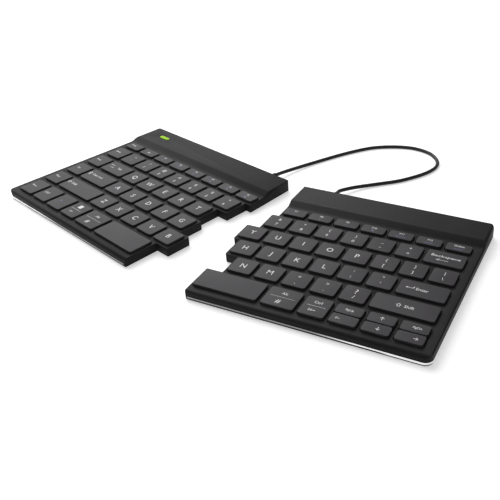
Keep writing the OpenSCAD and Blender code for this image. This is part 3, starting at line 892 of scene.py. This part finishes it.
def cap_recipe() -> Recipe:
    """The tree that raises a hollow key cap with rounded edges on each plan.

    Returns:
        The tree; it takes one flat face for each key.
    """
    recipe = Recipe("key_caps", Corner=1.6 * MM, Edge=0.22 * MM, Top=KEY_TOP * MM, Under=7.6 * MM,
                    Low=4.6 * MM, Wall=1.0 * MM, Merge=0.01 * MM)
    size = recipe.given

    def spot(inset: object, height: object) -> Socket:
        """A point of the cap's section, by its inset and height."""
        return recipe.vector(inset, recipe.sum(height, -1.0, "MULTIPLY"))

    def line(a: Socket, b: Socket) -> Socket:
        """A straight stretch of the cap's section."""
        return recipe.add("GeometryNodeCurvePrimitiveLine", {"Start": a, "End": b}).outputs[0]

    plan = recipe.add("GeometryNodeMeshToCurve", {0: size["Geometry"]}).outputs[0]
    rounded = recipe.add(
        "GeometryNodeFilletCurve", {"Curve": plan, "Count": 5, "Radius": size["Corner"],
                                    "Limit Radius": True}, mode="POLY").outputs[0]
    upright = recipe.add("GeometryNodeSetCurveNormal", {"Curve": rounded}, mode="Z_UP").outputs[0]
    shoulder = recipe.sum(size["Top"], size["Edge"], "SUBTRACT")
    inner_top, inner_low = spot(size["Wall"], size["Under"]), spot(size["Wall"], size["Low"])
    outer_low, outer_top = spot(0.0, size["Low"]), spot(0.0, shoulder)
    curve = recipe.add(
        "GeometryNodeCurveQuadraticBezier",
        {"Resolution": 4, "Start": outer_top, "Middle": spot(0.0, size["Top"]),
         "End": spot(size["Edge"], size["Top"])}).outputs[0]
    section = recipe.add("GeometryNodeJoinGeometry", {0: [
        line(inner_top, inner_low), line(inner_low, outer_low), line(outer_low, outer_top), curve]})
    walls = recipe.add(
        "GeometryNodeCurveToMesh", {"Curve": upright, "Profile Curve": section.outputs[0]})

    tangent = recipe.add("GeometryNodeInputTangent").outputs[0]
    inward = recipe.add(
        "ShaderNodeVectorMath", {0: tangent, 1: (0, 0, 1)}, operation="CROSS_PRODUCT").outputs[0]

    def lid(inset: object, height: object) -> Socket:
        """A flat face across the cap.

        Args:
            inset: Its distance from the plan's edge.
            height: Its height.

        Returns:
            The face's socket.
        """
        shift = recipe.add("ShaderNodeVectorMath", {0: inward, "Scale": inset}, operation="SCALE")
        moved = recipe.add(
            "GeometryNodeSetPosition", {"Geometry": upright, "Offset": shift.outputs[0]})
        flat = recipe.add("GeometryNodeFillCurve", {"Curve": moved.outputs[0]}, mode="NGONS")
        return recipe.add("GeometryNodeTransform", {
            "Geometry": flat.outputs[0], "Translation": recipe.vector(z=height)}).outputs[0]

    shape = recipe.add("GeometryNodeJoinGeometry", {0: [
        walls.outputs[0], lid(size["Edge"], size["Top"]), lid(size["Wall"], size["Under"])]})
    joined = recipe.add(
        "GeometryNodeMergeByDistance", {"Geometry": shape.outputs[0], "Distance": size["Merge"]})
    return recipe.close(joined.outputs[0])


def dome_recipe() -> Recipe:
    """The tree that sets a rubber dome with a rim on each point.

    Returns:
        The tree; it takes one point for each key.
    """
    recipe = Recipe("domes", Foot=3.0 * MM, Crown=1.7 * MM, Height=4.0 * MM, Rim=0.4 * MM,
                    Thickness=0.6 * MM)
    size = recipe.given
    cone = recipe.add("GeometryNodeMeshCone", {
        "Vertices": 20, "Radius Top": size["Crown"], "Radius Bottom": size["Foot"],
        "Depth": size["Height"]})
    seat = recipe.add("GeometryNodeMeshCylinder", {
        "Vertices": 20, "Radius": recipe.sum(size["Foot"], size["Rim"]), "Depth": size["Thickness"]})
    raised = recipe.add("GeometryNodeTransform", {
        "Geometry": seat.outputs[0],
        "Translation": recipe.vector(z=recipe.sum(size["Thickness"], 0.5, "MULTIPLY"))})
    both = recipe.add("GeometryNodeJoinGeometry", {0: [cone.outputs[0], raised.outputs[0]]})
    spread = recipe.add(
        "GeometryNodeInstanceOnPoints", {"Points": size["Geometry"], "Instance": both.outputs[0]})
    return recipe.close(spread.outputs[0])


def screw_recipe() -> Recipe:
    """The tree that sets a pan-head screw with a cross recess on each point.

    Returns:
        The tree; it takes one point for each screw, at the underside of its head.
    """
    recipe = Recipe("case_screws", Head=1.5 * MM, Thickness=0.5 * MM, Shank=0.8 * MM, Length=4.14 * MM,
                    Slot=0.42 * MM)
    recess_share = 1.2
    size = recipe.given
    half = recipe.sum(size["Thickness"], 0.5, "MULTIPLY")
    head = recipe.add("GeometryNodeMeshCylinder", {
        "Vertices": 28, "Radius": size["Head"], "Depth": size["Thickness"]})
    low_head = recipe.add(
        "GeometryNodeTransform", {"Geometry": head.outputs[0], "Translation": recipe.vector(z=half)})
    long = recipe.sum(size["Head"], recess_share, "MULTIPLY")
    bars = [recipe.add("GeometryNodeMeshCube", {"Size": recipe.vector(a, b, size["Thickness"])})
            for a, b in ((long, size["Slot"]), (size["Slot"], long))]
    recess = recipe.add("GeometryNodeMeshBoolean", {
        "Mesh 1": low_head.outputs[0], "Mesh 2": [bar.outputs[0] for bar in bars]},
        operation="DIFFERENCE")
    shank = recipe.add("GeometryNodeMeshCylinder", {
        "Vertices": 16, "Radius": size["Shank"], "Depth": size["Length"]})
    lift = recipe.sum(size["Thickness"], recipe.sum(size["Length"], 0.5, "MULTIPLY"))
    risen = recipe.add("GeometryNodeTransform", {
        "Geometry": shank.outputs[0], "Translation": recipe.vector(z=lift)})
    both = recipe.add("GeometryNodeJoinGeometry", {0: [recess.outputs[0], risen.outputs[0]]})
    spread = recipe.add(
        "GeometryNodeInstanceOnPoints", {"Points": size["Geometry"], "Instance": both.outputs[0]})
    return recipe.close(spread.outputs[0])


def points_mesh(spots: Iterable[Vector]) -> bpy.types.Mesh:
    """A mesh of loose points.

    Args:
        spots: The points.

    Returns:
        The mesh.
    """
    mesh = bpy.data.meshes.new("points")
    mesh.from_pydata([tuple(p) for p in spots], [], [])
    return mesh


# Legends


@dataclass(frozen=True)
class Legend:
    """One mark printed on a key.

    Attributes:
        text: Its characters.
        x: Place across the key from its hold, in millimetres.
        y: Place along the key from its middle, in millimetres.
        height: Height of a capital, in millimetres.
        ink: Its ink.
        hold: The point of the key that x is measured from.
        width: Its width in millimetres, or none for the characters' own.
    """

    text: str
    x: float = 0.0
    y: float = 0.0
    height: float = 3.8
    ink: Ink = Ink.WHITE
    hold: Hold = Hold.CENTRE
    width: float | None = None


Print = tuple[Legend, ...]
# A capital's share of its font's size, and the heights of words and small words in millimetres
CAPITAL = 0.682
WORD = 2.2
SMALL = 1.7


def letters(text: str) -> tuple[Print, ...]:
    """One key for each letter."""
    return tuple((Legend(c, 0, 0.1, 4.1),) for c in text)


def pairs(*texts: str) -> tuple[Print, ...]:
    """Keys with two signs each, the lower one first."""
    return tuple((Legend(t[0], 0, -3.1, 2.6), Legend(t[1], 0, 3.0, 2.6)) for t in texts)


def functions(*texts: tuple[str, str]) -> tuple[Print, ...]:
    """Function keys, each with its name and a second sign."""
    return tuple(
        (Legend(a, 0, 1.6, SMALL), Legend(b, 0, -1.7, SMALL, Ink.VIOLET)) for a, b in texts)


def words(*texts: str, x: float = 0.0, y: float = 0.0) -> tuple[Print, ...]:
    """Keys with one small word each."""
    return tuple((Legend(t, x, y, SMALL),) for t in texts)


def ruled(word: str, sign: str, width: float) -> tuple[Print, ...]:
    """A key with a word, a rule of the given width and a sign below it."""
    return ((Legend(word, 0, 4.1, WORD), Legend("—", 0, 0.5, 1.4, width=width),
             Legend(sign, -0.8, -3.9, 3.6)),)


def at_left(word: str, sign: str, x: float, height: float, width: float) -> tuple[Print, ...]:
    """A wide key with a sign at its left edge and a word of the given size after it."""
    return ((Legend(sign, 2.6, 1.4, 2.8, hold=Hold.LEFT),
             Legend(word, x, 1.4, height, hold=Hold.LEFT, width=width)),)


# Pieces


@dataclass
class KeyBank:
    """The keys that one body carries: caps with their print, and the lift under them.

    Attributes:
        node: The CAD node of the keys, which is also their body.
        side: The half that they stand in.
        prints: What is printed on each key.
        order: How the keys are counted.
        ink_proud: Thickness of the print, in millimetres.
        ink_spread: Distance by which a letter's outline grows, in millimetres.
        lift_foot: Height that the domes and levers stand on, in millimetres.
        lift_keep: Share of their height that is left when a key is down; not used.
        plans: The keys' plans, read from the CAD node.
    """

    node: str
    side: Side
    prints: tuple[Print, ...]
    order: Order = Order.ACROSS
    ink_proud: float = 0.02
    ink_spread: float = 0.02
    lift_foot: float = 2.4
    lift_keep: float = 0.625
    plans: list[Rect] = field(default_factory=list)

    def find_plans(self) -> None:
        """Read the keys' plans from the CAD node."""
        bm = node_copy(self.node)
        inverse = self.side.value.matrix().inverted()
        rects = [shell_rect(shell, inverse) for shell in islands(bm)]
        bm.free()
        self.plans = [r for r in rects if not any(o.holds(r.middle) and o != r and (
            o.x1 - o.x0 > r.x1 - r.x0) for o in rects)]
        self.plans.sort(key=lambda r: r.x0 if self.order is Order.ACROSS else r.y0)
        if len(self.plans) != len(self.prints):
            raise ValueError(f"{self.node}: {len(self.plans)} keys, {len(self.prints)} prints")

    @property
    def joint(self) -> str:
        """Name of the joint that presses these keys."""
        return next(j["name"] for j in frame["joints"] if j["child"] == self.node)

    def build(self, caps: Recipe) -> bpy.types.Object:
        """Build the caps with their print.

        Args:
            caps: The key cap tree.

        Returns:
            The finished piece.
        """
        place = self.side.value.matrix()
        mesh = bpy.data.meshes.new("plans")
        corners = [place @ Vector((x, y, 0)) for r in self.plans
                   for x, y in ((r.x0, r.y0), (r.x1, r.y0), (r.x1, r.y1), (r.x0, r.y1))]
        faces = [tuple(range(4 * i, 4 * i + 4)) for i in range(len(self.plans))]
        mesh.from_pydata([tuple(c) for c in corners], [], faces)
        bm = caps.run(mesh, KEY_GREY)
        for face in bm.faces:
            face.material_index = 0
        self.print_on(bm, place)
        piece = smooth_piece(self.node + "_caps", bm, KEY_GREY, INK_WHITE, INK_VIOLET)
        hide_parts(self.node)
        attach(piece, self.node)
        return piece

    def print_on(self, bm: bmesh.types.BMesh, place: Matrix) -> None:
        """Add the print to the caps.

        Args:
            bm: The caps.
            place: Half frame to part frame.
        """
        made = []
        for plan, marks in zip(self.plans, self.prints):
            for mark in marks:
                curve = bpy.data.curves.new("legend", "FONT")
                curve.body = mark.text
                curve.size = mark.height * MM / CAPITAL
                curve.resolution_u = 3
                curve.extrude = self.ink_proud * MM
                curve.offset = self.ink_spread * MM
                text = bpy.data.objects.new("legend", curve)
                bpy.context.scene.collection.objects.link(text)
                made.append((text, plan, mark))
        graph = bpy.context.evaluated_depsgraph_get()
        for text, plan, mark in made:
            mesh = bpy.data.meshes.new_from_object(text.evaluated_get(graph))
            xs = [v.co.x for v in mesh.vertices]
            shift = Matrix.Translation((-(min(xs) + max(xs)) / 2, -mark.height * MM / 2, 0))
            share = mark.width * MM / (max(xs) - min(xs)) if mark.width else 1.0
            stretch = Matrix.Diagonal((share, 1, 1, 1))
            spot = Vector((plan.at(mark.hold.value) + mark.x * MM, plan.middle.y + mark.y * MM,
                           (KEY_TOP + self.ink_proud / 2) * MM))
            mesh.transform(place @ Matrix.Translation(spot) @ stretch @ shift)
            known = len(bm.faces)
            bm.from_mesh(mesh)
            bm.faces.ensure_lookup_table()
            for face in bm.faces[known:]:
                face.material_index = mark.ink.value
            curve = text.data
            bpy.data.objects.remove(text)
            bpy.data.curves.remove(curve)
            bpy.data.meshes.remove(mesh)

    def build_lift(self, domes: Recipe, levers: bmesh.types.BMesh,
                   shells: list[list[bmesh.types.BMVert]]) -> bpy.types.Object:
        """Build the domes and levers under these keys.

        Args:
            domes: The dome tree.
            levers: The half's levers; not used.
            shells: The separate levers.

        Returns:
            The finished piece.
        """
        place = self.side.value.matrix()
        inverse = place.inverted()
        feet = [place @ (r.middle + Vector((0, 0, self.lift_foot * MM))) for r in self.plans]
        bm = domes.run(points_mesh(feet), DOME_RUBBER)
        for shell in shells:
            middle = shell_rect(shell, inverse).middle
            if any(plan.holds(middle) for plan in self.plans):
                twins = {v: bm.verts.new(v.co) for v in shell}
                for face in dict.fromkeys(f for v in shell for f in v.link_faces):
                    bm.faces.new([twins[v] for v in face.verts]).material_index = 1
        piece = smooth_piece(self.node + "_lift", bm, DOME_RUBBER, LEVER_PLASTIC)
        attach(piece, self.side.body)
        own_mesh(piece)
        return piece


@dataclass
class Half:
    """One half: tray, cover, trim, inner layers, screws, feet and boot.

    Attributes:
        side: Which half it is.
        case_edge: Rounding of the case's edges, in millimetres.
        cover_edge: Rounding of the cover's edges, in millimetres.
        trim_edge: Rounding of the trim's edges, in millimetres.
        foot_edge: Rounding of the feet's edges, in millimetres.
        boot_radius: Radius of the boot's first rib, in millimetres.
        neck_radius: Radius between the ribs, in millimetres.
        mouth_radius: Radius at the boot's tip, in millimetres.
        flange: Depth of the boot inside the bar, in millimetres.
        ribs: Ribs along the boot.
        rib_share: Share of the ribs' pitch that a rib takes.
        groove_share: Share of the pitch at which the groove after a rib starts.
        taper: Drop of the radius from rib to rib, in millimetres.
        chamfer: Drop of the radius at the edge of a rib, in millimetres.
        edge: Length of a rib's rounded edge, in millimetres.
        rise: Length over which a rib rises, in millimetres.
        dip: Drop of the grooves below the neck, in millimetres.
        boot_sides: Faces round the boot.
        sheet: Thickness of the sheet under the domes, in millimetres.
    """

    side: Side
    case_edge: float = 0.22
    cover_edge: float = 0.25
    trim_edge: float = 0.4
    foot_edge: float = 0.2
    boot_radius: float = 2.5
    neck_radius: float = 1.9
    mouth_radius: float = 1.5
    flange: float = 2.4
    ribs: int = 4
    rib_share: float = 0.6
    groove_share: float = 0.62
    taper: float = 0.16
    chamfer: float = 0.15
    edge: float = 0.2
    rise: float = 0.05
    dip: float = 0.1
    boot_sides: int = 28
    sheet: float = 0.3

    def build(self) -> list[bpy.types.Object]:
        """Build and dress everything but the keys.

        Returns:
            The pieces.
        """
        side = self.side
        pieces = [
            softened(side.node("tray"), side.node("top_case"), self.case_edge, CASE_BLACK),
            softened(side.node("cover"), side.node("bottom_cover"), self.cover_edge, COVER_BLACK),
            softened(side.node("trim"), side.node("trim_strip"), self.trim_edge, TRIM_CHROME,
                     segments=4),
            softened(side.node("pads"), side.node("feet"), self.foot_edge, FOOT_RUBBER),
        ]
        pieces += [self.boot_piece(), self.screws(), self.dome_base()]
        for piece in pieces:
            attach(piece, side.body)
        dress(side.node("support_plate"), PLATE_STEEL)
        dress(side.node("membrane"), MEMBRANE)
        dress(side.node("circuit_board"), BOARD)
        return pieces

    def boot_piece(self) -> bpy.types.Object:
        """A tapered boot with ribs, where the cord enters the bar.

        Returns:
            The piece, which stands for the CAD boot.
        """
        step = BOOT_LENGTH / self.ribs
        neck = self.neck_radius
        groove = neck - self.dip
        profile = [(self.boot_radius, -self.flange), (self.boot_radius, -self.flange / 2),
                   (neck, -self.flange / 2)]
        for i in range(self.ribs):
            full = self.boot_radius - i * self.taper
            near, far = i * step, (i + self.rib_share) * step
            profile += [(neck, near), (full - self.chamfer, near + self.rise),
                        (full, near + self.rise + self.edge), (full, far - self.edge),
                        (full - self.chamfer, far), (groove, (i + self.groove_share) * step)]
        profile += [(groove, BOOT_LENGTH - self.edge), (self.mouth_radius, BOOT_LENGTH)]
        spot = Vector((self.side.value.boot, REAR, BOOT_HEIGHT)) * MM
        place = self.side.value.matrix() @ Matrix.Translation(spot)
        bm = bmesh.new()
        skin(bm, [[bm.verts.new(place @ (Vector((r * c, h, -r * s)) * MM))
                   for c, s in turns(self.boot_sides)] for r, h in profile])
        piece = smooth_piece(self.side.node("boot"), bm, CORD_JACKET)
        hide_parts(self.side.node("cord_boot"))
        return piece

    def screws(self) -> bpy.types.Object:
        """Case screws with cross recesses.

        Returns:
            The piece, which stands for the CAD screws.
        """
        node = self.side.node("screws")
        bm = node_copy(node)
        spots: list[Vector] = []
        for shell in islands(bm):
            middle = sum((v.co for v in shell), Vector()) / len(shell)
            middle.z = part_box(node)[0].z
            if all((middle - s).length > MM for s in spots):
                spots.append(middle)
        bm.free()
        made = screw_recipe().run(points_mesh(spots), SCREW_STEEL)
        piece = smooth_piece(self.side.node("case_screws"), made, SCREW_STEEL)
        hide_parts(node)
        return piece

    def dome_base(self) -> bpy.types.Object:
        """The rubber sheet that the domes stand on.

        Returns:
            The piece, which stands for the CAD dome sheet and levers.
        """
        bm = node_copy(self.side.node("membrane"))
        bmesh.ops.translate(bm, verts=bm.verts, vec=(0, 0, self.sheet * MM))
        piece = smooth_piece(self.side.node("dome_base"), bm, DOME_RUBBER)
        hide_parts(self.side.node("dome_sheet"), self.side.node("scissors"))
        return piece


def dress(node: str, finish: Finish) -> None:
    """Give a CAD node its finish.

    Args:
        node: The node's name.
        finish: Its finish.
    """
    mesh = frame["nodes"][node].data
    mesh.materials.clear()
    mesh.materials.append(finish.material())
    LOG.info("%s: %s", node, finish.name)


@dataclass
class PowerParts:
    """The left bar's lens, charging socket, switch and battery.

    Attributes:
        lens_edge: Rounding of the lens's edges, in millimetres.
        socket_edge: Rounding of the socket's edges, in millimetres.
        knob_edge: Rounding of the switch knob's edges, in millimetres.
    """

    lens_edge: float = 0.18
    socket_edge: float = 0.1
    knob_edge: float = 0.22

    def build(self) -> list[bpy.types.Object]:
        """Build and dress them.

        Returns:
            The new pieces.
        """
        lens = softened("lens", "indicator_lens", self.lens_edge, LENS_GREEN, segments=3)
        socket = softened("socket", "charging_socket", self.socket_edge, SOCKET_STEEL)
        knob = softened("switch_knob", "power_switch", self.knob_edge, SWITCH_GREY, segments=3)
        for piece, body, slot in ((lens, Side.LEFT.body, "lens_green"),
                                  (socket, Side.LEFT.body, "plate_steel"),
                                  (knob, "power_switch", "switch_grey")):
            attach(piece, body)
        dress("battery", FOIL)
        return [lens, socket, knob]


@dataclass
class LinkCord:
    """The loose cord between the two halves.

    Attributes:
        diameter: Its diameter, in millimetres.
        lie: Height of its middle where it lies on the desk, in millimetres.
        substeps: Points between two given ones.
        sides: Faces round it.
        sharp: Angle in degrees from which an edge of it stays sharp.
        run: Straight stretch beyond each boot, in millimetres.
        drop: Drop over that stretch, in millimetres.
        right_end: Place across the desk where the cord follows the right half, in metres; not used.
        left_end: Place across the desk where it follows the left half, in metres; not used.
        loop: Points between the halves with their rise over the desk, from left to right.
    """

    diameter: float = 2.9
    lie: float = 1.5
    substeps: int = 8
    sides: int = 16
    sharp: float = 60.0
    run: float = 6.0
    drop: float = 0.6
    right_end: float = 0.0378
    left_end: float = -0.0192
    loop: tuple[Triple, ...] = (
        (-16.6, 87, 1.3), (-11.7, 102.8, 0.3), (-5.6, 117.5, 0), (1.2, 132, 0), (8.8, 145.9, 0),
        (17.5, 158.4, 0), (28.4, 167.4, 0), (40.8, 173.7, 0), (52, 175.8, 0), (63.9, 173.6, 0),
        (72.7, 167.3, 0), (78, 159.8, 0), (79.8, 151.8, 0), (78.8, 143.5, 0), (75.7, 134.4, 0),
        (70.3, 124, 0), (64.3, 114.9, 0), (55.4, 104.8, 0.1), (47, 94.5, 0.5), (42, 86.5, 1.3))

    def exit(self, side: Side, beyond: float = 0.0, drop: float = 0.0) -> Vector:
        """Where the cord leaves a half.

        Args:
            side: The half.
            beyond: Distance past the boot's end, in millimetres.
            drop: Drop below the boot's middle, in millimetres.

        Returns:
            The point, in metres.
        """
        spot = Vector((side.value.boot, REAR + BOOT_LENGTH + beyond, BOOT_HEIGHT - drop))
        return side.value.matrix() @ (spot * MM)

    def line(self) -> list[Vector]:
        """The cord's centre line.

        Returns:
            Points in metres, close together.
        """
        way = [self.exit(Side.LEFT), self.exit(Side.LEFT, self.run, self.drop)]
        way += [Vector((x, y, self.lie + rise)) * MM for x, y, rise in self.loop]
        way += [self.exit(Side.RIGHT, self.run, self.drop), self.exit(Side.RIGHT)]
        points = []
        for i in range(len(way) - 1):
            a, b, c, d = (way[max(0, min(len(way) - 1, i + k))] for k in (-1, 0, 1, 2))
            for j in range(self.substeps):
                t = j / self.substeps
                points.append(0.5 * (2 * b + (c - a) * t + (2 * a - 5 * b + 4 * c - d) * t ** 2
                                     + (3 * b - 3 * c + d - a) * t ** 3))
        return points + [way[-1]]

    def build(self) -> bpy.types.Object:
        """Build the cord as a round tube.

        Returns:
            The piece, which stands for the CAD cord.
        """
        points = self.line()
        radius = self.diameter * MM / 2
        bm = bmesh.new()
        rings = []
        for i, point in enumerate(points):
            way = (points[min(i + 1, len(points) - 1)] - points[max(i - 1, 0)]).normalized()
            side = way.cross(Vector((0, 0, 1))).normalized()
            up = side.cross(way)
            rings.append([bm.verts.new(point + radius * (c * side + s * up))
                          for c, s in turns(self.sides)])
        skin(bm, rings)
        cord = smooth_piece("link_cord_jacket", bm, CORD_JACKET, sharp=self.sharp)
        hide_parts("link_cord")
        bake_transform(cord)
        return cord


@dataclass
class Studio:
    """Camera, floor and soft light.

    Attributes:
        eye: Camera place, in metres.
        tilt: Camera turn about its own axes, in degrees.
        lens: Focal length, in millimetres.
        film: Width of the film, in millimetres.
        nearest: Distance from which the camera sees, in metres.
        shift: Shift of the picture across and up, as shares of its width.
        floor_size: Side of the floor, in metres.
        horizon: Brightness of the sky near the horizon.
        zenith: Brightness of the sky overhead.
        dim_start: Height in the sky at which it starts to dim, as a share of the way up.
        dim_end: Height at which it is dimmest.
        front: Share of its brightness that the sky keeps in front.
        rear_way: Direction in which the sky is brightest.
        rear_start: Lean towards that direction at which the sky starts to brighten.
        rear_end: Lean at which it is brightest.
        lamp_power: Power of the lamp, in watts.
        lamp_size: Side of the lamp, in metres.
        lamp_shine: Share of the lamp that shows in reflections.
        lamp_place: Where the lamp hangs, in metres.
    """

    eye: Triple = (0.29659, -0.33992, 0.26758)
    tilt: Triple = (59.4597, 1.5204, 33.8206)
    lens: float = 52.8625
    film: float = 36.0
    nearest: float = 0.01
    shift: tuple[float, float] = (-0.12, -0.06)
    floor_size: float = 8.0
    horizon: float = 0.8
    zenith: float = 0.45
    dim_start: float = 0.38
    dim_end: float = 0.75
    front: float = 0.34
    rear_way: Triple = (-0.95, 0.31, 0.0)
    rear_start: float = 0.1
    rear_end: float = 0.8
    lamp_power: float = 9.8
    lamp_size: float = 1.1
    lamp_shine: float = 0.3
    lamp_place: Triple = (-0.54, 0.30, 0.72)

    def build(self) -> None:
        """Set everything up."""
        scene = bpy.context.scene
        scene.view_settings.view_transform = "Standard"
        self.camera(scene)
        self.floor()
        self.light(scene)

    def camera(self, scene: bpy.types.Scene) -> None:
        """Stand the camera where the photograph was taken from.

        Args:
            scene: The scene that it looks at.
        """
        data = bpy.data.cameras.new("view")
        data.lens = self.lens
        data.sensor_width = self.film
        data.shift_x, data.shift_y = self.shift
        data.clip_start = self.nearest
        camera = bpy.data.objects.new("view", data)
        camera.location = self.eye
        camera.rotation_euler = [math.radians(a) for a in self.tilt]
        scene.collection.objects.link(camera)
        scene.camera = camera

    def floor(self) -> None:
        """Lay the floor."""
        mesh = bpy.data.meshes.new("floor")
        s = self.floor_size / 2
        mesh.from_pydata([(-s, -s, 0), (s, -s, 0), (s, s, 0), (-s, s, 0)], [], [(0, 1, 2, 3)])
        new_piece("floor", mesh, FLOOR_WHITE)

    def light(self, scene: bpy.types.Scene) -> None:
        """A bright rear horizon that dims upwards and to the front, and one large lamp.

        Args:
            scene: The scene that they light.
        """
        world = bpy.data.worlds.new("studio")
        scene.world = world
        world.use_nodes = True
        sky = NodeMaker(world.node_tree)
        way = sky.add("ShaderNodeTexCoord").outputs["Generated"]
        levels = {}
        for i, (axis, start, end, low, high) in enumerate((
                ((0, 0, 1), self.dim_start, self.dim_end, self.horizon, self.zenith),
                (self.rear_way, self.rear_start, self.rear_end, self.front, 1.0))):
            along = sky.add("ShaderNodeVectorMath", {0: way, 1: axis}, operation="DOT_PRODUCT")
            inputs = {"Value": along.outputs["Value"], "From Min": start, "From Max": end,
                      "To Min": low, "To Max": high}
            level = sky.add("ShaderNodeMapRange", inputs, interpolation_type="SMOOTHSTEP")
            levels[i] = level.outputs[0]
        both = sky.add("ShaderNodeMath", levels, operation="MULTIPLY")
        background = sky.tree.nodes["Background"].inputs
        sky.tree.links.new(both.outputs[0], background["Strength"])
        background["Color"].default_value = (1, 1, 1, 1)
        data = bpy.data.lights.new("softbox", "AREA")
        data.energy = self.lamp_power
        data.size = self.lamp_size
        data.specular_factor = self.lamp_shine
        lamp = bpy.data.objects.new("softbox", data)
        lamp.location = self.lamp_place
        aim = -Vector(self.lamp_place)
        lamp.rotation_euler = aim.to_track_quat("-Z", "Y").to_euler()
        scene.collection.objects.link(lamp)


def key_banks() -> list[KeyBank]:
    """Every bank of keys with its print.

    Returns:
        The banks of both halves.
    """
    left, right = Side.LEFT, Side.RIGHT
    return [
        KeyBank("left_column_keys", left,
                words("Menu", "Copy", "Cut", "Paste", "Undo", "PrtSc", x=-2.2, y=0.8), Order.REARWARD),
        KeyBank("left_function_keys", left, words("Esc") + functions(
            ("F1", "☼"), ("F2", "☀"), ("F3", "☰"), ("F4", "◀"), ("F5", "▶"), ("F6", "■"))),
        KeyBank("left_number_keys", left, pairs("`~", "1!", "2@", "3#", "4$", "5%", "6^")),
        KeyBank("tab_key", left, ((
            Legend("⇤", -7.4, 2.0, 2.2, width=4.6), Legend("⇥", -6.4, -1.2, 2.2, width=4.6),
            Legend("Tab", 2.4, 0.8, WORD)),)),
        KeyBank("left_upper_keys", left, letters("QWERT")),
        KeyBank("caps_lock_key", left, at_left("Caps lock", "⇪", 12.4, 2.0, 12.5)),
        KeyBank("left_home_keys", left, letters("ASDFG")),
        KeyBank("left_shift_key", left, at_left("Shift", "⇧", 8.9, WORD, 6.4)),
        KeyBank("left_lower_keys", left, letters("ZXCVB")),
        KeyBank("left_control_key", left, ((Legend("Ctrl", -2.6, 0.6, WORD),),)),
        KeyBank("function_shift_key", left, ((Legend("Fn", -1.6, 0.4, WORD, Ink.VIOLET),),)),
        KeyBank("system_key", left, ((
            Legend("■", -0.6, 4.0, 3.4), Legend("—", -0.8, 0.3, 1.5, width=11.5),
            Legend("⇤", -1.0, -3.8, 2.8)),)),
        KeyBank("left_alt_key", left, ruled("Alt", "#", 16.0)),
        KeyBank("left_space_key", left, ((),)),
        KeyBank("right_function_keys", right, functions(
            ("F7", "«"), ("F8", "»"), ("F9", "♪"), ("F10", "●"), ("F11", "NumLk"),
            ("F12", "ScrLk"))),
        KeyBank("delete_key", right, functions(("Delete", "Insert"))),
        KeyBank("right_number_keys", right, pairs("7&", "8*", "9(", "0)", "-_", "=+")),
        KeyBank("backspace_key", right, ((Legend("Backspace", 0, 1.8, WORD, width=19.0),
                                          Legend("⟵", -1.5, -2.6, 2.4, width=8.0)),)),
        KeyBank("right_upper_keys", right, letters("YUIOP") + pairs("[{", "]}")),
        KeyBank("backslash_key", right, pairs("\\|")),
        KeyBank("right_home_keys", right, letters("HJKL") + pairs(";:", "'\"")),
        KeyBank("enter_key", right, ((Legend("↵", -8.2, 0, 2.8, width=5.4),
                                      Legend("Enter", -0.5, 0, 2.4)),)),
        KeyBank("right_lower_keys", right, letters("NM") + pairs(",<", ".>") + (
            (Legend("/", 0, -3.1, 3.0), Legend("?", 0, 2.4, 4.2)),)),
        KeyBank("right_shift_key", right, ((Legend("⇧", -3.9, 0, 2.8),
                                            Legend("Shift", 2.6, 0, 2.4)),)),
        KeyBank("right_space_key", right, ((),)),
        KeyBank("right_alt_key", right, ruled("Alt", "#", 16.0)),
        KeyBank("right_control_key", right, ruled("Ctrl", "⇤", 12.0)),
        KeyBank("page_up_key", right, words("PgUp")),
        KeyBank("left_arrow_key", right, ((Legend("←", -4.0, 0, 2.6),),)),
        KeyBank("up_arrow_key", right, ((Legend("↑", 0, 0, 2.8),),)),
        KeyBank("down_arrow_key", right, ((Legend("↓", 0.8, 0, 2.8),),)),
        KeyBank("page_down_key", right, words("PgDn", x=1.2)),
        KeyBank("right_arrow_key", right, ((Legend("→", 3.2, 0, 2.6),),)),
    ]


def main() -> None:
    """Build the studio, the cord, the halves and the keys, and report each piece."""
    logging.basicConfig(level=logging.INFO, format="%(name)s: %(message)s")
    Studio().build()
    pieces = [LinkCord().build()]
    pieces += Half(Side.RIGHT).build()
    pieces += Half(Side.LEFT).build()
    pieces += PowerParts().build()
    caps, domes = cap_recipe(), dome_recipe()
    levers = {side: node_copy(side.node("scissors")) for side in Side}
    shells = {side: islands(bm) for side, bm in levers.items()}
    for bank in key_banks():
        bank.find_plans()
        pieces.append(bank.build(caps))
        pieces.append(bank.build_lift(domes, levers[bank.side], shells[bank.side]))
    for bm in levers.values():
        bm.free()
    for piece in pieces:
        LOG.info("%s: %d faces", piece.name, len(piece.data.polygons))


if __name__ == "__main__":
    main()
